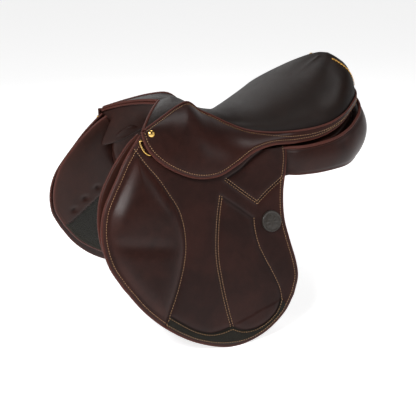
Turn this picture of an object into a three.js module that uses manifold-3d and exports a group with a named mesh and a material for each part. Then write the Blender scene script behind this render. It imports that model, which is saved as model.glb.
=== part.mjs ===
// English jumping saddle, in millimetres, +Z up.
// The pommel points towards -Y, the cantle towards +Y and the near (left) side is +X.
// The origin is on the mid-plane, on the ceiling of the channel between the two panels.

import * as THREE from 'three';
import { mergeVertices } from 'three/addons/utils/BufferGeometryUtils.js';
import Module from 'manifold-3d';

const wasm = await Module();
wasm.setup();

// ---- Driving dimensions ----

// The flaps hang on one curved surface: how far it stands out from the mid-plane.
const FLAP_ROOT_Z = 84; // height where the flap surface starts
const FLAP_DROP = 400; // drop over which its shape is stated
const FLAP_ROOT_X = 80; // half width at the root
const FLAP_SPREAD = 165; // how fast it spreads on the way down
const FLAP_CURL = 40; // how much it turns back in
const FLAP_TOE_TOP = 20; // how much wider it is 300 mm further back, at the root
const FLAP_TOE_LOW = 40; // and at the bottom
const TOE_LENGTH = 300;
const TOE_ZERO_Y = -120;

const LEATHER = 4; // flap and skirt thickness
const HINGE_Z = -15; // the flap bends here, just below the skirt
const HINGE_GAP = 1; // half of the slit between a moving leaf and its fixed root

// Layers at the flap, measured out from the flap's outer face.
const NAIL_OUT = 16;
const STRAP_OUT = -8;
const STRAP_THICK = 3;
const SWEAT_OUT = -15;
const SWEAT_THICK = 4;

// Heights of the tree along the saddle: top face of the wooden frame.
const TREE_THICK = 12;
const treeTop = through([[-100, 78], [-60, 62], [-30, 47], [0, 38], [25, 34], [60, 36],
  [100, 44], [150, 58], [200, 80], [240, 98], [265, 108]]);

// Layers above the tree.
const WEB_LOW = 1;
const WEB_THICK = 1.4;
const CROSS_WEB_LOW = 3.2;
const FOAM_LOW = 6;
const COVER_THICK = 2.5;
const FOAM_GAP = 3.5;

// Girth straps.
const STRAP_WIDTH = 25;
const STRAP_TOP_Z = 8;
const STRAP_LENGTH = 225;
const STRAP_CENTRES = { front: -98, middle: -60, rear: -22 };
const STRAP_HOLES = 4;
const STRAP_HOLE_RADIUS = 2.5;
const STRAP_HOLE_PITCH = 25;
const STRAP_FIRST_HOLE = 30; // above the strap's lower end

// Stirrup bar: a flat forging that is open to the rear.
const BAR = {
  baseX: 79, baseThick: 4, bladeX: 100, bladeThick: 3.5,
  frontY: -126, armThick: 9, baseRearY: -40, bladeRearY: -52,
  lowZ: 28, highZ: 41, catchLength: 15,
};
const PIN_RADIUS = 2;

// Dee ring.
const DEE = { y: -180, z: 60, width: 30, drop: 26, wire: 3.2, out: 4.2 };

const BADGE = { y: 15, z: -93, radius: 19.5, thick: 3 };
const NAIL = { y: -174, z: 71, radius: 5.5, height: 3 };

// ---- Outlines: hand-drawn control points, [y, z] on the flap surface ----

const FLAP_EDGE = [[-254, -15], [-269, -38], [-278, -75], [-274, -122], [-256, -158], [-226, -202],
  [-190, -238], [-143, -268], [-85, -285], [-30, -275], [16, -246], [45, -208], [50, -178],
  [44, -128], [40, -92], [46, -50], [58, -15]];
const FLAP_TOP_EDGE = [[-251, -10], [-239, 6], [-221, 31], [-203, 51], [-188, 66], [-172, 64],
  [-158, 38], [-140, 26], [-60, 22], [40, 22], [66, 22], [64, 6], [60, -8]];
const SWEAT_EDGE = [[-186, 64], [-204, 52], [-224, 33], [-242, 13], [-265, -22], [-276, -68],
  [-272, -112], [-252, -152], [-222, -192], [-184, -224], [-138, -250], [-82, -262], [-32, -250],
  [8, -222], [33, -185], [37, -158], [31, -118], [25, -84], [31, -46], [43, -12], [52, 6]];
const SWEAT_TOP = [[-186, 64], [-172, 44], [-158, 18], [-130, 6], [-60, 2], [0, 2], [52, 6]];
const KNEE_FRONT = [[-243, -19], [-260, -46], [-268, -78], [-265, -112], [-248, -152], [-220, -192],
  [-201, -216]];
const KNEE_REAR = [[-165, -19], [-152, -42], [-145, -72], [-145, -104], [-154, -140], [-170, -176],
  [-189, -208]];
const GRIP_TOP = [[-192, -222], [-169, -232], [-145, -248], [-122, -257], [-100, -257], [-82, -253],
  [-64, -263], [-40, -264], [-14, -255], [5, -240], [15, -226]];
const GRIP_LOW = [[-192, -230], [-168, -248], [-142, -262], [-85, -279], [-30, -269], [12, -242],
  [20, -232]];

// Seam between the seat and the skirts on the near side: [x, y, z] from the nail to the cantle.
const SEAM = [[84, -184, 76], [68, -146, 88], [49, -108, 98], [36, -81, 99], [31, -55, 81],
  [36, -33, 70], [50, -7, 56], [68, 17, 46], [94, 48, 43], [114, 82, 45], [131, 118, 51],
  [139, 145, 59], [134, 174, 69], [114, 206, 78], [85, 238, 86], [45, 260, 91], [0, 268, 93]];
// The matching places on the seat's centre line: [y, z].
const SPINE = [[-115, 98], [-103, 101], [-93, 102], [-78, 98], [-56, 85], [-33, 74], [-7, 67], [17, 63],
  [48, 67], [82, 79], [118, 93], [145, 105], [168, 116], [190, 130], [205, 139], [213, 144], [215, 145]];
// The matching places on the free edge of the skirt and of the narrow tail behind it.
const SKIRT_RIM = [[93, -189, 73], [99, -187, 56], [106, -178, 38], [116, -156, 17], [127, -113, -4],
  [131, -72, -6], [130, -34, 9], [126, 0, 25], [124, 38, 31], [129, 82, 29], [137, 118, 33],
  [143, 142, 42], [139, 170, 53], [118, 205, 65], [90, 240, 75], [48, 263, 81], [2, 272, 84]];
// The skirt bends along a straight line from the nail to where the tail begins.
const SKIRT_HINGE = [[92, -194, 74], [124, 38, 33]];
const SKIRT_THICK = 3.5;
const TAIL_START = 0.5; // place along the seam where the tail begins

// Outer wall of the rear panel: [x, y], with the heights of its piping and of its lower edge.
const GUSSET_PLAN = [[133, 70], [140, 95], [146, 124], [149, 152], [144, 182], [130, 208], [112, 230],
  [90, 247], [64, 260], [38, 266]];
const GUSSET_TOP = through([[0, 18], [0.15, 20], [0.3, 27], [0.42, 38], [0.55, 49], [0.68, 58], [0.8, 65],
  [0.9, 70], [1, 73]]);
const GUSSET_LOW = through([[0, -28], [0.15, -27], [0.3, -24], [0.42, -22], [0.55, -20], [0.68, -16],
  [0.8, -9], [0.9, 0], [1, 8]]);
const GUSSET_BULGE = through([[0, 3], [0.4, 6], [0.7, 13], [0.85, 15], [1, 9]]);
const GUSSET_THICK = 4;

// Corners of the near panel's section along the saddle: [y, x, z].
const PANEL_FRONT = -176;
const PANEL_REAR = 258;
const CHANNEL_TOP = [[-176, 46, 50], [-140, 36, 48], [-100, 30, 42], [-40, 34, 18], [30, 36, 16],
  [100, 36, 26], [150, 36, 38], [200, 36, 60], [240, 34, 70], [258, 36, 70]];
const OUTER_TOP = [[-176, 60, 56], [-140, 68, 18], [-100, 74, 12], [-40, 88, 10], [30, 95, 10], [60, 108, 9],
  [100, 130, 15], [150, 138, 34], [200, 118, 54], [240, 78, 64], [258, 48, 66]];
const OUTER_LOW = [[-176, 92, -30], [-140, 108, -66], [-100, 112, -74], [-40, 116, -58], [30, 114, -38],
  [100, 132, -27], [150, 138, -24], [200, 118, -18], [240, 78, -2], [258, 48, 8]];
const CHANNEL_LOW = [[-176, 66, -26], [-140, 78, -60], [-100, 76, -62], [-40, 48, -38], [30, 44, -34],
  [100, 42, -32], [150, 40, -29], [200, 38, -20], [240, 36, -3], [258, 36, 8]];
const CHANNEL_LINING = through([[-60, 30], [-30, 12], [0, 1.5], [50, 1.5], [100, 10], [150, 22], [200, 44],
  [236, 58]]);

// ---- Small tools ----

/** A smooth function through [at, value] pairs, held level beyond both ends. */
function through(pairs) {
  const end = pairs.length - 1;
  const slope = (i) => {
    const before = pairs[Math.max(i - 1, 0)];
    const after = pairs[Math.min(i + 1, end)];
    return (after[1] - before[1]) / (after[0] - before[0]);
  };
  return (at) => {
    if (at <= pairs[0][0]) return pairs[0][1];
    if (at >= pairs[end][0]) return pairs[end][1];
    const i = pairs.findIndex((pair) => pair[0] > at) - 1;
    const [a, va] = pairs[i];
    const [b, vb] = pairs[i + 1];
    const t = (at - a) / (b - a);
    const rise = (b - a) * t * (1 - t);
    return va + (vb - va) * t * t * (3 - 2 * t) + rise * ((1 - t) * slope(i) - t * slope(i + 1));
  };
}

/** A curve through [y, z] or [x, y, z] points, read by its parameter so that point k is at k / (n - 1). */
function curve(points) {
  const full = points.map((p) => (p.length === 3 ? p : [0, ...p]));
  const spline = new THREE.CatmullRomCurve3(full.map((p) => new THREE.Vector3(...p)), false, 'centripetal');
  return (t) => spline.getPoint(t);
}

const mix = (a, b, t) => a + (b - a) * t;

const flapX = (y, z) => {
  const t = (FLAP_ROOT_Z - z) / FLAP_DROP;
  const toe = mix(FLAP_TOE_TOP, FLAP_TOE_LOW, t) * (y - TOE_ZERO_Y) / TOE_LENGTH;
  return FLAP_ROOT_X + FLAP_SPREAD * t - FLAP_CURL * t * t + toe;
};

/** A closed body from points and triangles, turned so that its faces point out. */
function closedBody(points, triangles) {
  const raw = new THREE.BufferGeometry();
  raw.setAttribute('position', new THREE.Float32BufferAttribute(points.flatMap((p) => [p.x, p.y, p.z]), 3));
  raw.setIndex(triangles.flat());
  const merged = mergeVertices(raw, 1e-3);
  const index = merged.getIndex().array;
  const at = (k) => new THREE.Vector3().fromBufferAttribute(merged.attributes.position, k);
  const kept = [];
  let volume = 0;
  for (let i = 0; i < index.length; i += 3) {
    const [a, b, c] = [index[i], index[i + 1], index[i + 2]];
    if (a === b || b === c || c === a) continue;
    kept.push([a, b, c]);
    volume += at(a).dot(at(b).cross(at(c)));
  }
  merged.setIndex(kept.flatMap(([a, b, c]) => (volume > 0 ? [a, b, c] : [a, c, b])));
  return merged;
}

/**
 * A closed body between two skins, each a function of (u, v) from 0 to 1 that gives a point.
 * When the last column doubles back on itself, it needs no end wall: its two halves meet there.
 */
function between(face, back, columns, rows, endWall = true) {
  const points = [];
  for (const skin of [face, back]) {
    for (let i = 0; i <= columns; i++) {
      for (let j = 0; j <= rows; j++) points.push(skin(i / columns, j / rows));
    }
  }
  const id = (side, i, j) => (side * (columns + 1) + i) * (rows + 1) + j;
  const triangles = [];
  const quad = (a, b, c, d) => triangles.push([a, b, c], [a, c, d]);
  for (let i = 0; i < columns; i++) {
    for (let j = 0; j < rows; j++) {
      quad(id(0, i, j), id(0, i + 1, j), id(0, i + 1, j + 1), id(0, i, j + 1));
      quad(id(1, i, j), id(1, i, j + 1), id(1, i + 1, j + 1), id(1, i + 1, j));
    }
    quad(id(0, i, 0), id(1, i, 0), id(1, i + 1, 0), id(0, i + 1, 0));
    quad(id(0, i, rows), id(0, i + 1, rows), id(1, i + 1, rows), id(1, i, rows));
  }
  for (let j = 0; j < rows; j++) {
    quad(id(0, 0, j), id(0, 0, j + 1), id(1, 0, j + 1), id(1, 0, j));
    if (endWall) quad(id(0, columns, j), id(1, columns, j), id(1, columns, j + 1), id(0, columns, j + 1));
  }
  return closedBody(points, triangles);
}

/** A leaf of leather on the flap surface, between two [y, z] curves. */
function leaf(upper, lower, faceOut, backOut, columns, rows) {
  const skin = (out) => (u, v) => {
    const p = upper(u).lerp(lower(u), v);
    return new THREE.Vector3(flapX(p.y, p.z) + out(u, v), p.y, p.z);
  };
  return between(skin(faceOut), skin(backOut), columns, rows);
}

const flat = (value) => () => value;

/** The body as bare positions with shared corners. */
function bare(geometry) {
  const copy = geometry.clone();
  copy.deleteAttribute('normal');
  copy.deleteAttribute('uv');
  return mergeVertices(copy, 1e-3);
}

/** The same body on the other side of the mid-plane. */
function mirrored(geometry) {
  const copy = bare(geometry).applyMatrix4(new THREE.Matrix4().makeScale(-1, 1, 1));
  const index = copy.getIndex().array;
  for (let i = 0; i < index.length; i += 3) [index[i], index[i + 1]] = [index[i + 1], index[i]];
  return copy;
}

function toManifold(geometry) {
  const merged = bare(geometry);
  return new wasm.Manifold(new wasm.Mesh({
    numProp: 3,
    vertProperties: new Float32Array(merged.attributes.position.array),
    triVerts: new Uint32Array(merged.getIndex().array),
  }));
}

function fromManifold(solid) {
  const mesh = solid.getMesh();
  const geometry = new THREE.BufferGeometry();
  geometry.setAttribute('position', new THREE.Float32BufferAttribute(mesh.vertProperties, 3));
  geometry.setIndex([...mesh.triVerts]);
  return geometry;
}

const joined = (geometries) => fromManifold(geometries.map(toManifold).reduce((sum, next) => sum.add(next)));

function cut(geometry, tools) {
  const left = tools.map(toManifold).reduce((rest, tool) => rest.subtract(tool), toManifold(geometry));
  return fromManifold(left);
}

/** Direction that the flap surface faces at (y, z). */
function flapNormal(y, z) {
  const step = 1;
  const slopeY = (flapX(y + step, z) - flapX(y - step, z)) / (2 * step);
  const slopeZ = (flapX(y, z + step) - flapX(y, z - step)) / (2 * step);
  return new THREE.Vector3(1, -slopeY, -slopeZ).normalize();
}

/** Turns a body made around +Y so that +Y points along the direction, then moves it into place. */
function aimed(geometry, place, direction) {
  const turn = new THREE.Quaternion().setFromUnitVectors(new THREE.Vector3(0, 1, 0), direction);
  const matrix = new THREE.Matrix4().compose(place, turn, new THREE.Vector3(1, 1, 1));
  return geometry.applyMatrix4(matrix);
}

/** A round bar along a curve, as an extruded polygon. */
function rod(points, radius, sides, steps) {
  const section = new THREE.Shape();
  for (let k = 0; k < sides; k++) {
    const angle = (k / sides) * 2 * Math.PI;
    const corner = [radius * Math.cos(angle), radius * Math.sin(angle)];
    if (k === 0) section.moveTo(...corner);
    else section.lineTo(...corner);
  }
  section.closePath();
  const path = new THREE.CatmullRomCurve3(points.map((p) => new THREE.Vector3(...p)), false, 'centripetal');
  return new THREE.ExtrudeGeometry(section, { steps, extrudePath: path });
}

function block(lowX, highX, lowY, highY, lowZ, highZ) {
  const box = new THREE.BoxGeometry(highX - lowX, highY - lowY, highZ - lowZ);
  return box.translate((lowX + highX) / 2, (lowY + highY) / 2, (lowZ + highZ) / 2);
}

// ---- Materials ----


function material(color, roughness, metalness = 0) {
  return new THREE.MeshStandardMaterial({ color, roughness, metalness });
}

const MATERIALS = {
  flapLeather: material('#3c2723', 0.5),
  seatLeather: material('#2c2320', 0.42),
  panelLeather: material('#4f2c24', 0.5),
  pipingLeather: material('#6b3a2e', 0.5),
  gripRubber: material('#2a2a22', 0.8),
  strapLeather: material('#3a2018', 0.6),
  beech: material('#b58a5a', 0.7),
  foam: material('#d9cfae', 0.95),
  webbing: material('#cfc9ba', 0.9),
  brass: material('#c9962f', 0.3, 1),
  steel: material('#8d8f92', 0.35, 1),
  badge: material('#2b2421', 0.4, 0.2),
};

const saddle = new THREE.Group();

function add(name, geometry, finish) {
  const mesh = new THREE.Mesh(geometry, finish);
  mesh.name = name;
  saddle.add(mesh);
}

function addPair(name, geometry, finish) {
  add(`${name}_near`, geometry, finish);
  add(`${name}_off`, mirrored(geometry), finish);
}

// ---- Seat surface ----

const seamAt = curve(SEAM);
const spineAt = curve(SPINE);
// How square the seat's cross section is: soft in front, full at the cantle.
const crownPower = through([[0, 2], [0.4, 2.2], [0.7, 2.4], [0.85, 3.6], [1, 5]]);
const crownRound = through([[0, 1], [0.3, 1.2], [0.45, 1.7], [1, 2]]);
const cantleRise = through([[0.7, 0], [0.85, 4], [1, 5]]);

/** Direction out of the seat at the seam, level with the ground. */
function seamOutward(u) {
  const along = seamAt(Math.min(u + 0.004, 1)).sub(seamAt(Math.max(u - 0.004, 0)));
  return new THREE.Vector3(along.y, -along.x, 0).normalize();
}

/** Top of the seat: u runs from the pommel to the cantle, v from the centre line to the near seam. */
function seatTop(u, v) {
  const middle = spineAt(u);
  const edge = seamAt(u);
  const fall = 1 - (1 - v ** crownPower(u)) ** (1 / crownRound(u));
  const rise = cantleRise(u) * Math.sin(Math.PI * Math.min(1, v * 1.4)) ** 2;
  return new THREE.Vector3(edge.x * v, mix(middle.y, edge.y, v), mix(middle.z, edge.z, fall) + rise);
}

/** The same over both sides: v runs from -1 (off) to 1 (near). */
function seatTopAcross(u, v) {
  const point = seatTop(u, Math.abs(v));
  return new THREE.Vector3(point.x * Math.sign(v), point.y, point.z);
}

function buildSeat() {
  const COLUMNS = 22;
  const ROWS = 10;
  const lowered = (start, reach, drop) => (u, v) => {
    const point = seatTopAcross(mix(start, 1, u), reach * (2 * v - 1));
    return point.setZ(point.z - drop);
  };
  const cover = between(lowered(0, 1, 0), lowered(0, 1, COVER_THICK), COLUMNS, ROWS, false);
  add('seat_cover', cover, MATERIALS.seatLeather);

  const FOAM_START = 0.1;
  const foamReach = through([[0, 0.86], [0.5, 0.8], [1, 0.6]]);
  const foamTop = (u, v) => lowered(FOAM_START, foamReach(u), COVER_THICK + FOAM_GAP)(u, v);
  const foamBottom = (u, v) => {
    const point = foamTop(u, v);
    return point.setZ(Math.min(treeTop(point.y) + FOAM_LOW, point.z - 1));
  };
  add('seat_foam', between(foamTop, foamBottom, COLUMNS - 6, ROWS - 4, false), MATERIALS.foam);

  const PIPING_RADIUS = 2;
  const PIPING_OUT = 3.2;
  const PIPING_STEPS = 28;
  const piping = [];
  for (let k = 0; k <= PIPING_STEPS; k++) {
    const u = mix(0.01, 0.99, k / PIPING_STEPS);
    const place = seamAt(u).addScaledVector(seamOutward(u), PIPING_OUT);
    piping.push(place.toArray());
  }
  addPair('seat_piping', rod(piping, PIPING_RADIUS, 6, PIPING_STEPS), MATERIALS.pipingLeather);
}

// ---- Tree, plates and webs ----

function buildTree() {
  const TREE_START = 0.1;
  const TREE_REACH = 0.84;
  const OVERLAP = 0.8;
  const innerReach = through([[0.3, 0], [0.36, 0.12], [0.45, 0.45], [0.6, 0.55], [0.8, 0.55], [1, 0.4]]);
  const rail = (drop) => (u, v) => {
    const along = mix(TREE_START, 1, u);
    const point = seatTop(along, mix(innerReach(along), TREE_REACH, v));
    return new THREE.Vector3(point.x - OVERLAP, point.y, treeTop(point.y) - drop);
  };
  const half = between(rail(0), rail(TREE_THICK), 16, 2);

  // The points run down from the head on each side and carry the stirrup bars.
  const POINT_THICK = 8;
  const pointSkin = (out) => (u, v) => {
    const top = new THREE.Vector3(mix(26, 20, u), mix(-104, -40, u), mix(72, 47, u));
    const low = new THREE.Vector3(74, mix(-138, -36, u), 30);
    const place = top.lerp(low, v);
    return new THREE.Vector3(place.x - out * 0.7, place.y, place.z - out * 0.7);
  };
  const point = between(pointSkin(0), pointSkin(POINT_THICK), 4, 3);
  add('tree', joined([half, mirrored(half), point, mirrored(point)]), MATERIALS.beech);

  const head = new THREE.Shape();
  head.moveTo(-19, 60);
  head.lineTo(-17, 78);
  head.quadraticCurveTo(0, 94, 17, 78);
  head.lineTo(19, 60);
  head.lineTo(12, 58);
  head.quadraticCurveTo(0, 80, -12, 58);
  head.closePath();
  const plate = new THREE.ExtrudeGeometry(head, { depth: 3, bevelEnabled: false, curveSegments: 6 });
  plate.rotateX(Math.PI / 2).translate(0, -106, 0);
  add('head_plate', plate, MATERIALS.steel);

  const cantlePlate = (drop) => (u, v) => {
    const y = mix(222, 244, v);
    return new THREE.Vector3(mix(-38, 38, u), y, treeTop(y) - TREE_THICK - 2 - drop);
  };
  add('cantle_plate', between(cantlePlate(0), cantlePlate(2), 6, 2), MATERIALS.steel);
}

function buildWebs() {
  const WEB_INNER = 3;
  const webWidth = through([[-78, 20], [-40, 22], [60, 42], [150, 48], [222, 40]]);
  const web = (drop) => (u, v) => {
    const y = mix(-78, 222, u);
    return new THREE.Vector3(WEB_INNER + webWidth(y) * v, y, treeTop(y) + WEB_LOW + WEB_THICK - drop);
  };
  addPair('seat_web', between(web(0), web(WEB_THICK), 14, 2), MATERIALS.webbing);

  const cross = (drop) => (u, v) => {
    const y = mix(24, 74, v);
    return new THREE.Vector3(mix(-66, 66, u), y, treeTop(y) + CROSS_WEB_LOW + WEB_THICK - drop);
  };
  add('cross_web', between(cross(0), cross(WEB_THICK), 6, 4), MATERIALS.webbing);

  const GIRTH_WEB = { x: 80, highZ: 24, lowZ: 14, out: -9 };
  const girthWeb = (out) => (u, v) => {
    const y = mix(-112, -8, u);
    const lowX = flapX(y, GIRTH_WEB.lowZ) + GIRTH_WEB.out;
    return new THREE.Vector3(mix(GIRTH_WEB.x, lowX, v) + out, y, mix(GIRTH_WEB.highZ, GIRTH_WEB.lowZ, v));
  };
  addPair('girth_web', between(girthWeb(0), girthWeb(-2), 4, 2), MATERIALS.webbing);
}

// ---- Skirts ----

const rimAt = curve(SKIRT_RIM);

/** The place on the skirt's bend that faces place u on the seam. */
function hingeAt(u) {
  const [front, rear] = SKIRT_HINGE.map((p) => new THREE.Vector3(...p));
  const along = (rimAt(u).y - front.y) / (rear.y - front.y);
  return front.lerp(rear, THREE.MathUtils.clamp(along, 0, 1));
}

/** A leather strip from one curve to another, bowed out by an amount that depends on u. */
function strip(upper, lower, outward, bow, lift, columns, rows) {
  const skin = (inset) => (u, v) => {
    const place = upper(u).lerp(lower(u), v);
    const facing = outward(u).clone().setZ(lift).normalize();
    return place.addScaledVector(outward(u), bow(u) * Math.sin(Math.PI * v)).addScaledVector(facing, -inset);
  };
  return between(skin(0), skin(SKIRT_THICK), columns, rows);
}

function buildSkirts() {
  const SEAM_OUT = 6;
  const SEAM_DROP = 3.6;
  const bandAt = (u) => mix(0.05, 0.995, u);
  const outward = (u) => seamOutward(bandAt(u));
  // The band is sewn to the seat, and carries the moving skirt in front and ends as the tail behind.
  const sewn = (u) => {
    const place = seamAt(bandAt(u)).addScaledVector(outward(u), SEAM_OUT);
    return place.setZ(place.z - SEAM_DROP);
  };
  const free = (u) => (bandAt(u) < TAIL_START ? hingeAt(bandAt(u)) : rimAt(bandAt(u)));
  const bandBow = through([[0, 1], [0.15, 8], [0.3, 14], [0.42, 8], [0.55, 3], [0.7, 0]]);
  const BAND_LIFT = 1; // the band faces up as much as it faces out
  const band = strip(sewn, free, outward, bandBow, BAND_LIFT, 24, 3);
  addPair('skirt_band', band, MATERIALS.flapLeather);

  const FIRST = 0.1;
  const LAST = 0.47;
  const along = (u) => mix(FIRST, LAST, u);
  // The moving skirt stands clear of the nail and the dee ring in front, and of the band behind them.
  const clearance = through([[-164, 18], [-142, 3.5]]);
  const LEAN = 0.45; // how far the leather stands out for each millimetre it drops
  const bend = (u) => {
    const place = hingeAt(along(u));
    const drop = clearance(place.y);
    return place.add(new THREE.Vector3(LEAN * drop, 0, -drop));
  };
  const rim = (u) => rimAt(along(u));
  const SKIRT_BOW = 4;
  const SKIRT_LIFT = 0.2;
  const sideways = flat(new THREE.Vector3(1, 0, 0));
  const skirt = strip(bend, rim, sideways, flat(SKIRT_BOW), SKIRT_LIFT, 14, 5);
  addPair('skirt', skirt, MATERIALS.flapLeather);
}

// ---- Flaps and what is sewn to them ----

function buildFlaps() {
  const HINGE_FRONT = -253;
  const HINGE_REAR = 57;
  const hingeLine = (z) => (u) => new THREE.Vector3(0, mix(HINGE_FRONT, HINGE_REAR, u), z);
  const edge = curve(FLAP_EDGE);
  const flapLow = (u) => {
    const p = edge(u);
    return p.setZ(Math.min(p.z, HINGE_Z - HINGE_GAP));
  };
  const flap = leaf(hingeLine(HINGE_Z - HINGE_GAP), flapLow, flat(0), flat(-LEATHER), 18, 5);
  addPair('flap', flap, MATERIALS.flapLeather);

  const topEdge = curve(FLAP_TOP_EDGE);
  const topHigh = (u) => {
    const p = topEdge(u);
    return p.setZ(Math.max(p.z, HINGE_Z + HINGE_GAP));
  };
  const flapTop = leaf(topHigh, hingeLine(HINGE_Z + HINGE_GAP), flat(0), flat(-LEATHER), 18, 2);
  addPair('flap_top', flapTop, MATERIALS.flapLeather);

  const KNEE_SWELL = 12;
  const along = (u) => Math.sin(Math.PI * mix(0.22, 0.9, u));
  const swell = (u, v) => 3 + KNEE_SWELL * Math.sin(Math.PI * v) ** 0.8 * along(u);
  const knee = leaf(curve(KNEE_FRONT), curve(KNEE_REAR), swell, flat(1), 10, 6);
  addPair('knee_pad', knee, MATERIALS.flapLeather);

  const grip = leaf(curve(GRIP_TOP), curve(GRIP_LOW), flat(2.4), flat(1), 16, 2);
  addPair('grip_strip', grip, MATERIALS.gripRubber);

  const disc = new THREE.CylinderGeometry(BADGE.radius * 0.9, BADGE.radius, BADGE.thick, 24);
  const badgeNormal = flapNormal(BADGE.y, BADGE.z);
  const badgePlace = new THREE.Vector3(flapX(BADGE.y, BADGE.z), BADGE.y, BADGE.z);
  badgePlace.addScaledVector(badgeNormal, BADGE.thick / 2 + 0.8);
  addPair('badge', aimed(disc, badgePlace, badgeNormal), MATERIALS.badge);
}

function buildSweatFlaps() {
  const edge = curve(SWEAT_EDGE);
  const top = curve(SWEAT_TOP);
  const sweatFlap = leaf(top, edge, flat(SWEAT_OUT), flat(SWEAT_OUT - SWEAT_THICK), 18, 5);
  addPair('sweat_flap', sweatFlap, MATERIALS.panelLeather);

  const blockFront = curve([[4, -66], [4, -100], [8, -140]]);
  const blockRear = curve([[20, -66], [20, -100], [24, -140]]);
  const thick = (u, v) => SWEAT_OUT + 2 + 6 * Math.sin(Math.PI * mix(0.15, 0.85, v));
  const roll = leaf(blockFront, blockRear, thick, flat(SWEAT_OUT + 1), 5, 4);
  addPair('thigh_block', roll, MATERIALS.panelLeather);
}

function buildStraps() {
  for (const [place, centreY] of Object.entries(STRAP_CENTRES)) {
    const lowZ = STRAP_TOP_Z - STRAP_LENGTH;
    const front = curve([[centreY - STRAP_WIDTH / 2, STRAP_TOP_Z], [centreY - STRAP_WIDTH / 2, lowZ]]);
    const rear = curve([[centreY + STRAP_WIDTH / 2, STRAP_TOP_Z], [centreY + STRAP_WIDTH / 2, lowZ]]);
    const strap = leaf(front, rear, flat(STRAP_OUT), flat(STRAP_OUT - STRAP_THICK), 5, 1);
    const punches = [];
    for (let k = 0; k < STRAP_HOLES; k++) {
      const z = lowZ + STRAP_FIRST_HOLE + k * STRAP_HOLE_PITCH;
      const punch = new THREE.CylinderGeometry(STRAP_HOLE_RADIUS, STRAP_HOLE_RADIUS, 4 * STRAP_THICK, 6);
      const middle = new THREE.Vector3(flapX(centreY, z) + STRAP_OUT - STRAP_THICK / 2, centreY, z);
      punches.push(aimed(punch, middle, flapNormal(centreY, z)));
    }
    addPair(`girth_strap_${place}`, cut(strap, punches), MATERIALS.strapLeather);
  }
}

// ---- Panels ----

/** A corner of the panel's section as a function of y, from [y, x, z] stations. */
function sectionCorner(stations) {
  const x = through(stations.map((s) => [s[0], s[1]]));
  const z = through(stations.map((s) => [s[0], s[2]]));
  return (y) => new THREE.Vector3(x(y), y, z(y));
}

function buildPanels() {
  const corners = [CHANNEL_TOP, OUTER_TOP, OUTER_LOW, CHANNEL_LOW].map(sectionCorner);
  const [channelTop, outerTop, outerLow, channelLow] = corners;
  const walk = (a, b, c) => (u, v) => {
    const y = mix(PANEL_FRONT, PANEL_REAR, u);
    return v < 0.5 ? a(y).lerp(b(y), v * 2) : b(y).lerp(c(y), v * 2 - 1);
  };
  const outside = walk(channelTop, outerTop, outerLow);
  const horseSide = walk(channelTop, channelLow, outerLow);
  addPair('panel', between(outside, horseSide, 20, 4), MATERIALS.panelLeather);
}

function buildGussets() {
  const plan = curve(GUSSET_PLAN.map(([x, y]) => [x, y, 0]));
  const wall = (inset) => (u, v) => {
    const p = plan(u);
    const along = plan(Math.min(u + 0.01, 1)).sub(plan(Math.max(u - 0.01, 0)));
    const outward = new THREE.Vector3(along.y, -along.x, 0).normalize();
    const out = GUSSET_BULGE(u) * Math.sin(Math.PI * v) - inset;
    return p.addScaledVector(outward, out).setZ(mix(GUSSET_TOP(u), GUSSET_LOW(u), v));
  };
  addPair('rear_gusset', between(wall(0), wall(GUSSET_THICK), 16, 5), MATERIALS.flapLeather);

  const PIPING_RADIUS = 2.5;
  const PIPING_POINTS = 12;
  const PIPING_GAP = 0.6;
  const path = [];
  for (let k = 0; k <= PIPING_POINTS; k++) {
    const p = wall(1)(k / PIPING_POINTS, 0);
    path.push([p.x, p.y, p.z + PIPING_RADIUS + PIPING_GAP]);
  }
  addPair('panel_piping', rod(path, PIPING_RADIUS, 6, 24), MATERIALS.pipingLeather);
}

/** The leather that joins the two panels: along the channel, in front and behind. */
function buildBridges() {
  const LINING_HALF = 30;
  const LINING_THICK = 3;
  const lining = (drop) => (u, v) => {
    const y = mix(-60, 236, u);
    return new THREE.Vector3(mix(-LINING_HALF, LINING_HALF, v), y, CHANNEL_LINING(y) + 1.5 - drop);
  };
  add('gullet_lining', between(lining(0), lining(LINING_THICK), 14, 2), MATERIALS.panelLeather);

  const FRONT_HALF = 26;
  const frontBridge = (drop) => (u, v) => {
    const turn = mix(-1, 1, u);
    const y = mix(-112, -66, v) - 24 * turn * turn * (1 - v);
    return new THREE.Vector3(FRONT_HALF * turn, y, mix(62, 44, v) - 10 * turn * turn - drop);
  };
  add('panel_front_bridge', between(frontBridge(0), frontBridge(LINING_THICK), 8, 3), MATERIALS.panelLeather);

  const REAR_HALF = 33;
  const REAR_Y = 268;
  const rearBridge = (inset) => (u, v) => {
    const turn = mix(-1, 1, u);
    return new THREE.Vector3(REAR_HALF * turn, REAR_Y - 3 * turn * turn - inset, mix(76, 44, v));
  };
  add('panel_rear_bridge', between(rearBridge(0), rearBridge(GUSSET_THICK), 6, 2), MATERIALS.flapLeather);
}

// ---- Metal fittings ----

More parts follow.
